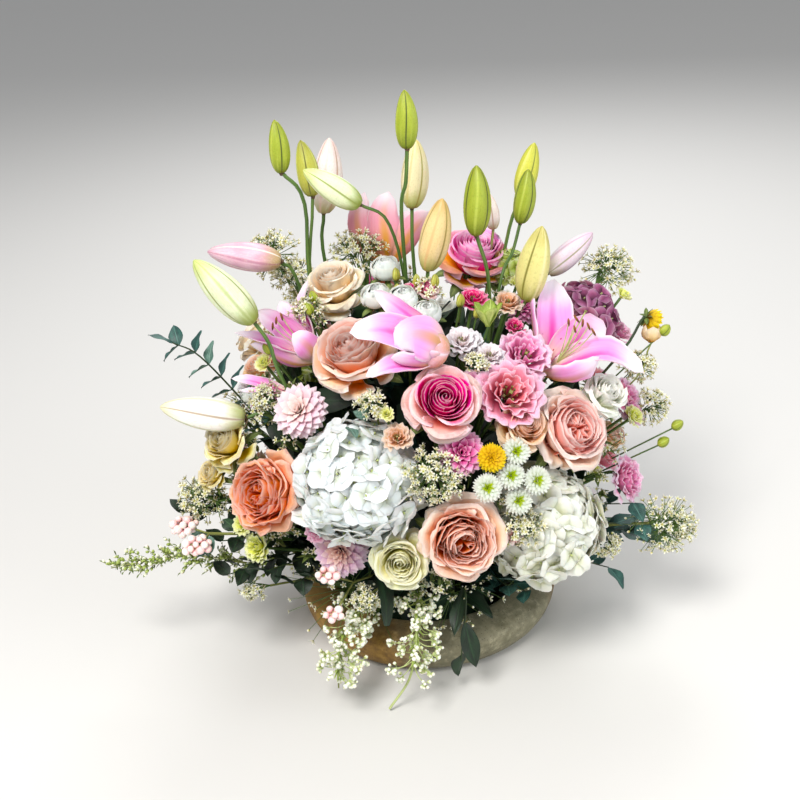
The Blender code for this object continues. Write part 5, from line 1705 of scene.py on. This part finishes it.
# ---- oddments on thin stalks at the edges: closed buds, a turned-away bloom, a cone of petals
greenTips = {
    "buds_white_bloom": {"look": "budOlive", "radius": 0.0046, "length": 0.016, "from": 0.92, "at": [
        (-14, 84, 0.408), (-8, 80, 0.404), (12, 82, 0.406), (2, 76, 0.402), (8, 74, 0.400),
        (26, 80, 0.410), (33, 75, 0.402), (37, 72, 0.398)]},
    "buds_left": {"look": "budGreen", "radius": 0.0052, "length": 0.015, "from": 0.90, "at": [
        (-70, 74, 0.400), (-62, 72, 0.398), (-72, 68, 0.392), (-64, 63, 0.385)]},
    "buds_right": {"look": "budGreen", "radius": 0.0062, "length": 0.015, "from": 0.80, "at": [
        (79, 33, 0.372), (77, 32, 0.350), (89, 45, 0.424)]},
    "buds_back": {"look": "budOlive", "radius": 0.0055, "length": 0.020, "from": 0.85, "at": [
        (150, 66, 0.410), (162, 52, 0.380), (-152, 44, 0.360), (-165, 64, 0.400), (125, 44, 0.385)]},
}
for name, tips in greenTips.items():
    pile = newPile(name)
    for turn, lift, reach in tips["at"]:
        tip = spotAt(turn, lift, reach)
        way = unit(tip - heart + np.array([0, 0, 0.06]))
        base = tip - way * tips["length"]
        addBud(pile, tips["look"], base, tip, tips["radius"])
        start = spotAt(turn, lift, reach * tips["from"] - 0.02)
        addStem(pile, [start, base - way * 0.006, base], 0.0010, "stemGreen", 5)
    pile.finish("lily_green")

pile = newPile("lily_bud_rear_pink")
base = spotAt(116, 74, 0.428)
addBud(pile, "budBlush", base, spotAt(112, 77, 0.470), 0.009)
addStem(pile, [heart, spotAt(116, 72, 0.30), base], 0.0016, "stemOlive")
pile.finish("lily_cream")


def around(axis, turns):
    # directions across an axis, at these turns in degrees
    return [stand((0, 0, 0), axis, 1, turn)[:3, 0] for turn in turns]


limeCone = {"at": (37, 70, 0.400), "petals": 5, "foot": np.array([0, -0.004, -0.016]), "width": 0.009}
pile = newPile("lime_cone")
spot = spotAt(*limeCone["at"])
for k in range(limeCone["petals"]):
    turn = 2 * pi * k / limeCone["petals"]
    out = np.array([cos(turn), sin(turn) * 0.8, 0.5])
    spine = [spot + limeCone["foot"], spot + out * 0.008 - (0, 0, 0.008), spot + out * 0.016]
    petal = lilyPetal(spine, np.array([0, 0, 1.0]) - out * 0.6, limeCone["width"], 0.3, 0.1, k)
    pile.sheet(petal, (6, 8), 0.0008, "limeLeaf")
addStem(pile, fromHeart(spot, 0.6)[:2] + [spot + limeCone["foot"]], 0.0014, "stemGreen", 5)
pile.finish("leaf")

turnedAway = {"at": (91, 48, 0.412), "axis": (0.75, 0.2, -0.55), "sepals": 7,
              "rings": ((14, 0.020), (12, 0.017))}  # how many petals, and how long
pile = newPile("bloom_turned_away")
spot, axis = spotAt(*turnedAway["at"]), unit(turnedAway["axis"])
for ring, (count, length) in enumerate(turnedAway["rings"]):
    for k, side in enumerate(around(axis, [k * 360 / count + ring * 12 for k in range(count)])):
        spine = [spot, spot + side * length * 0.5 + axis * 0.004,
                 spot + side * length * 0.8 + axis * (0.010 + ring * 0.004)]
        pile.sheet(lilyPetal(spine, axis, 0.0034, 0.2, 0.1, k), (3, 6), 0.0005, "mumYellow", 0.2, 0.5)
for side in around(axis, [k * 51 for k in range(turnedAway["sepals"])]):
    way = unit(side - axis * 0.2)
    addLeaf(pile, "oliveLeaf", spot - axis * 0.001, way, 0.013, 0.0026, 0.1, 0.3, 0, (3, 5))
addStem(pile, [heart, spotAt(78, 50, 0.34), spot - axis * 0.004], 0.0016, "stemDark", 6)
pile.finish("petal_cream")

peachCone = {"at": (90, 46, 0.404), "foot": np.array([0, 0, 0.014]), "width": 0.011}
pile = newPile("petal_cone_right")
spot = spotAt(*peachCone["at"])
for k, side in enumerate(around((0, 0, 1), (0, 90, 180, 270))):
    spine = [spot - peachCone["foot"], spot + side * 0.009 - (0, 0, 0.003),
             spot + side * 0.007 + np.array([0, 0, 0.009])]
    petal = lilyPetal(spine, -side, peachCone["width"], 0.5, 0.1, k)
    pile.sheet(petal, (6, 8), 0.0007, "smallPeach", 0.0, 0.9)
addStem(pile, [heart, spotAt(80, 44, 0.33), spot - peachCone["foot"]], 0.0011, "stemOlive", 5)
pile.finish("petal_peach")
print("oddments done")


# ---- leafy twigs low on the left, on the right and over the bowl's front edge
leafyTwigs = {
    "leaves_left_low": {"look": "deepLeaf", "leaf": (0.024, 0.010), "count": 8, "tips": [
        (-60, 20, 0.258), (-52, 22, 0.244), (-46, 20, 0.222), (-66, 24, 0.275), (-40, 24, 0.215),
        (-60, 18, 0.270), (-72, 27, 0.320)]},
    "leaves_left_pale": {"look": "blueLeaf", "leaf": (0.020, 0.008), "count": 7, "tips": [
        (-18, 59, 0.352), (-21, 56, 0.348)]},
    "leaves_right_low": {"look": "tealLeaf", "leaf": (0.026, 0.011), "count": 6, "tips": [
        (66, 20, 0.290), (70, 24, 0.285), (34, 16, 0.205), (60, 12, 0.250), (28, 20, 0.205)]},
    "leaves_back_low": {"look": "darkLeaf", "leaf": (0.028, 0.012), "count": 8, "tips": [
        (k * 24 + 96, 6 + 5 * (k % 3), 0.24) for k in range(8)]},
}
for name, twigs in leafyTwigs.items():
    pile = newPile(name)
    draw, (long, wide) = pile.chance.uniform, twigs["leaf"]
    for turn, lift, reach in twigs["tips"]:
        line = flowing([heart, spotAt(turn, lift + 8, reach * 0.6), spotAt(turn, lift, reach)], 8)
        pile.tube(line, np.linspace(0.0015, 0.0007, len(line)), 5, "stemDark")
        for k in range(twigs["count"]):
            spot, way = along(line, blend(0.52, 1.0, k / (twigs["count"] - 1)))
            side = unit(np.cross(way, (0.2, -0.4, 1.0))) * (1 if k % 2 else -1)
            out = unit(way * 0.7 + side * 0.9 + pile.chance.normal(0, 0.2, 3))
            length, width, roll = long * draw(0.8, 1.2), wide * draw(0.8, 1.1), draw(-35, 35)
            addLeaf(pile, twigs["look"], spot, out, length, width, 0.15, 0.2, roll, (4, 7), 0.0, 0.1, 0.8)
    pile.finish("leaf")


# ---- inner foliage, and what fills the gaps that are left
dome = {"centre": hub + (0.01, 0.0, 0.245), "half": np.array([0.235, 0.215, 0.195]), "inside": 0.97}


def domeReach(way):
    # how far the flowers' dome lies from the heart along a direction
    half, offset = dome["half"], heart - dome["centre"]
    a, c = np.sum((way / half) ** 2), np.sum((offset / half) ** 2) - 1
    b = 2 * np.sum(way * offset / half ** 2)
    return (-b + sqrt(b * b - 4 * a * c)) / (2 * a)


gapKinds = {  # what goes into a gap, by its size; each kind is one piece
    "wide": [{"look": "ruffledPink"}, {"kind": "rose cup", "look": "creamWhite"}, {"look": "ruffledWhite"},
             {"kind": "ball cupped", "look": "dahliaMauve"}, {"look": "ruffledPeach"},
             {"kind": "rose spiral", "look": "smallPeach"}, {"look": "ruffledSalmon"},
             {"kind": "hydrangea", "florets": 30, "size": 0.38, "look": "hydrangeaLime"}],
    "narrow": [{"kind": "ball button", "look": "mumWhite"}, {"look": "ruffledDeep"}, {"look": "ruffledLime"},
               {"kind": "rose button", "look": "pureWhite"}],
}
# how much room a gap must have, and between which lifts the front's gaps are filled, with sprays only
gapRules = {"tries": 420, "frontRoom": 0.009, "backRoom": 0.012, "frontLifts": (16, 74),
            "wideFrom": 0.016, "largest": {"wide": 0.026, "narrow": 0.0125}}
gapPiles, gapCount = {}, 0
for k in range(gapRules["tries"]):
    lift = degrees(asin(blend(-0.02, 0.985, (k + 0.5) / gapRules["tries"])))
    turn = degrees(k * goldenTurn) % 360
    way = away(turn, lift)
    spot = heart + way * domeReach(way) * dome["inside"]
    room = min(np.linalg.norm(spot - middle) - radius for middle, radius in taken)
    frontal, (lowest, highest) = way[1] < -0.15, gapRules["frontLifts"]
    if room < gapRules["frontRoom" if frontal else "backRoom"] or frontal and not lowest <= lift <= highest:
        continue
    if frontal or gapCount % 5 == 4:
        if "gap_spray" not in gapPiles:
            gapPiles["gap_spray"] = (newPile("gap_spray", 0.5), "starCream")
        taken.append((spot, room))
        addSpray(gapPiles["gap_spray"][0], spot - way * 0.03, spot - way * room * 0.3, way, room * 1.1,
                 int(room * 950), leafy=4)
    else:
        size = "wide" if room > gapRules["wideFrom"] else "narrow"
        bloom = gapKinds[size][gapCount % len(gapKinds[size])]
        title = "gap_" + bloom["look"]
        if title not in gapPiles:
            gapPiles[title] = (newPile(title, 0.55, 0.6), bloom["look"])
        addSmallBloom(gapPiles[title][0], bloom, (turn, lift, domeReach(way) * dome["inside"]),
                      min(room * 1.05, gapRules["largest"][size]))
    gapCount += 1
for pile, look in gapPiles.values():
    pile.finish(lookSlots[look])
print("gap blooms:", gapCount)

foliage = {
    "outer": {"rings": 8, "perRing": 46, "reach": (0.78, 0.93), "leaf": (0.050, 0.090),
              "width": (0.009, 0.017), "looks": ("deepLeaf", "darkLeaf", "deepLeaf", "deepLeaf", "tealLeaf")},
    "inner": {"rings": 6, "perRing": 40, "reach": (0.52, 0.74), "leaf": (0.070, 0.100),
              "width": (0.014, 0.024), "looks": ("deepLeaf",) * 5},
}
for layer, spread in foliage.items():
    pile = newPile("foliage_" + layer)
    chance, draw = pile.chance, pile.chance.uniform
    for ring in range(spread["rings"]):
        for k in range(spread["perRing"]):
            turn = 360 * (k + 0.5 * (ring % 2)) / spread["perRing"] + draw(-5, 5)
            lift = blend(2, 80, ring / (spread["rings"] - 1)) + draw(-6, 6)
            way = away(turn, lift)
            tip = heart + way * domeReach(way) * draw(*spread["reach"])
            length = draw(*spread["leaf"])
            aim = unit(way + chance.normal(0, 0.4, 3))
            look, base = spread["looks"][int(chance.integers(5))], tip - aim * length
            addLeaf(pile, look, base, aim, length, draw(*spread["width"]), draw(0.05, 0.3), 0.3,
                    draw(-80, 80), (2, 6), draw(0, 0.5))
            if k % 3 == 0:
                addStem(pile, fromHeart(base), 0.0013, "stemDark", 4)
    pile.finish("leaf")
print("foliage done")

bpy.context.view_layer.update()
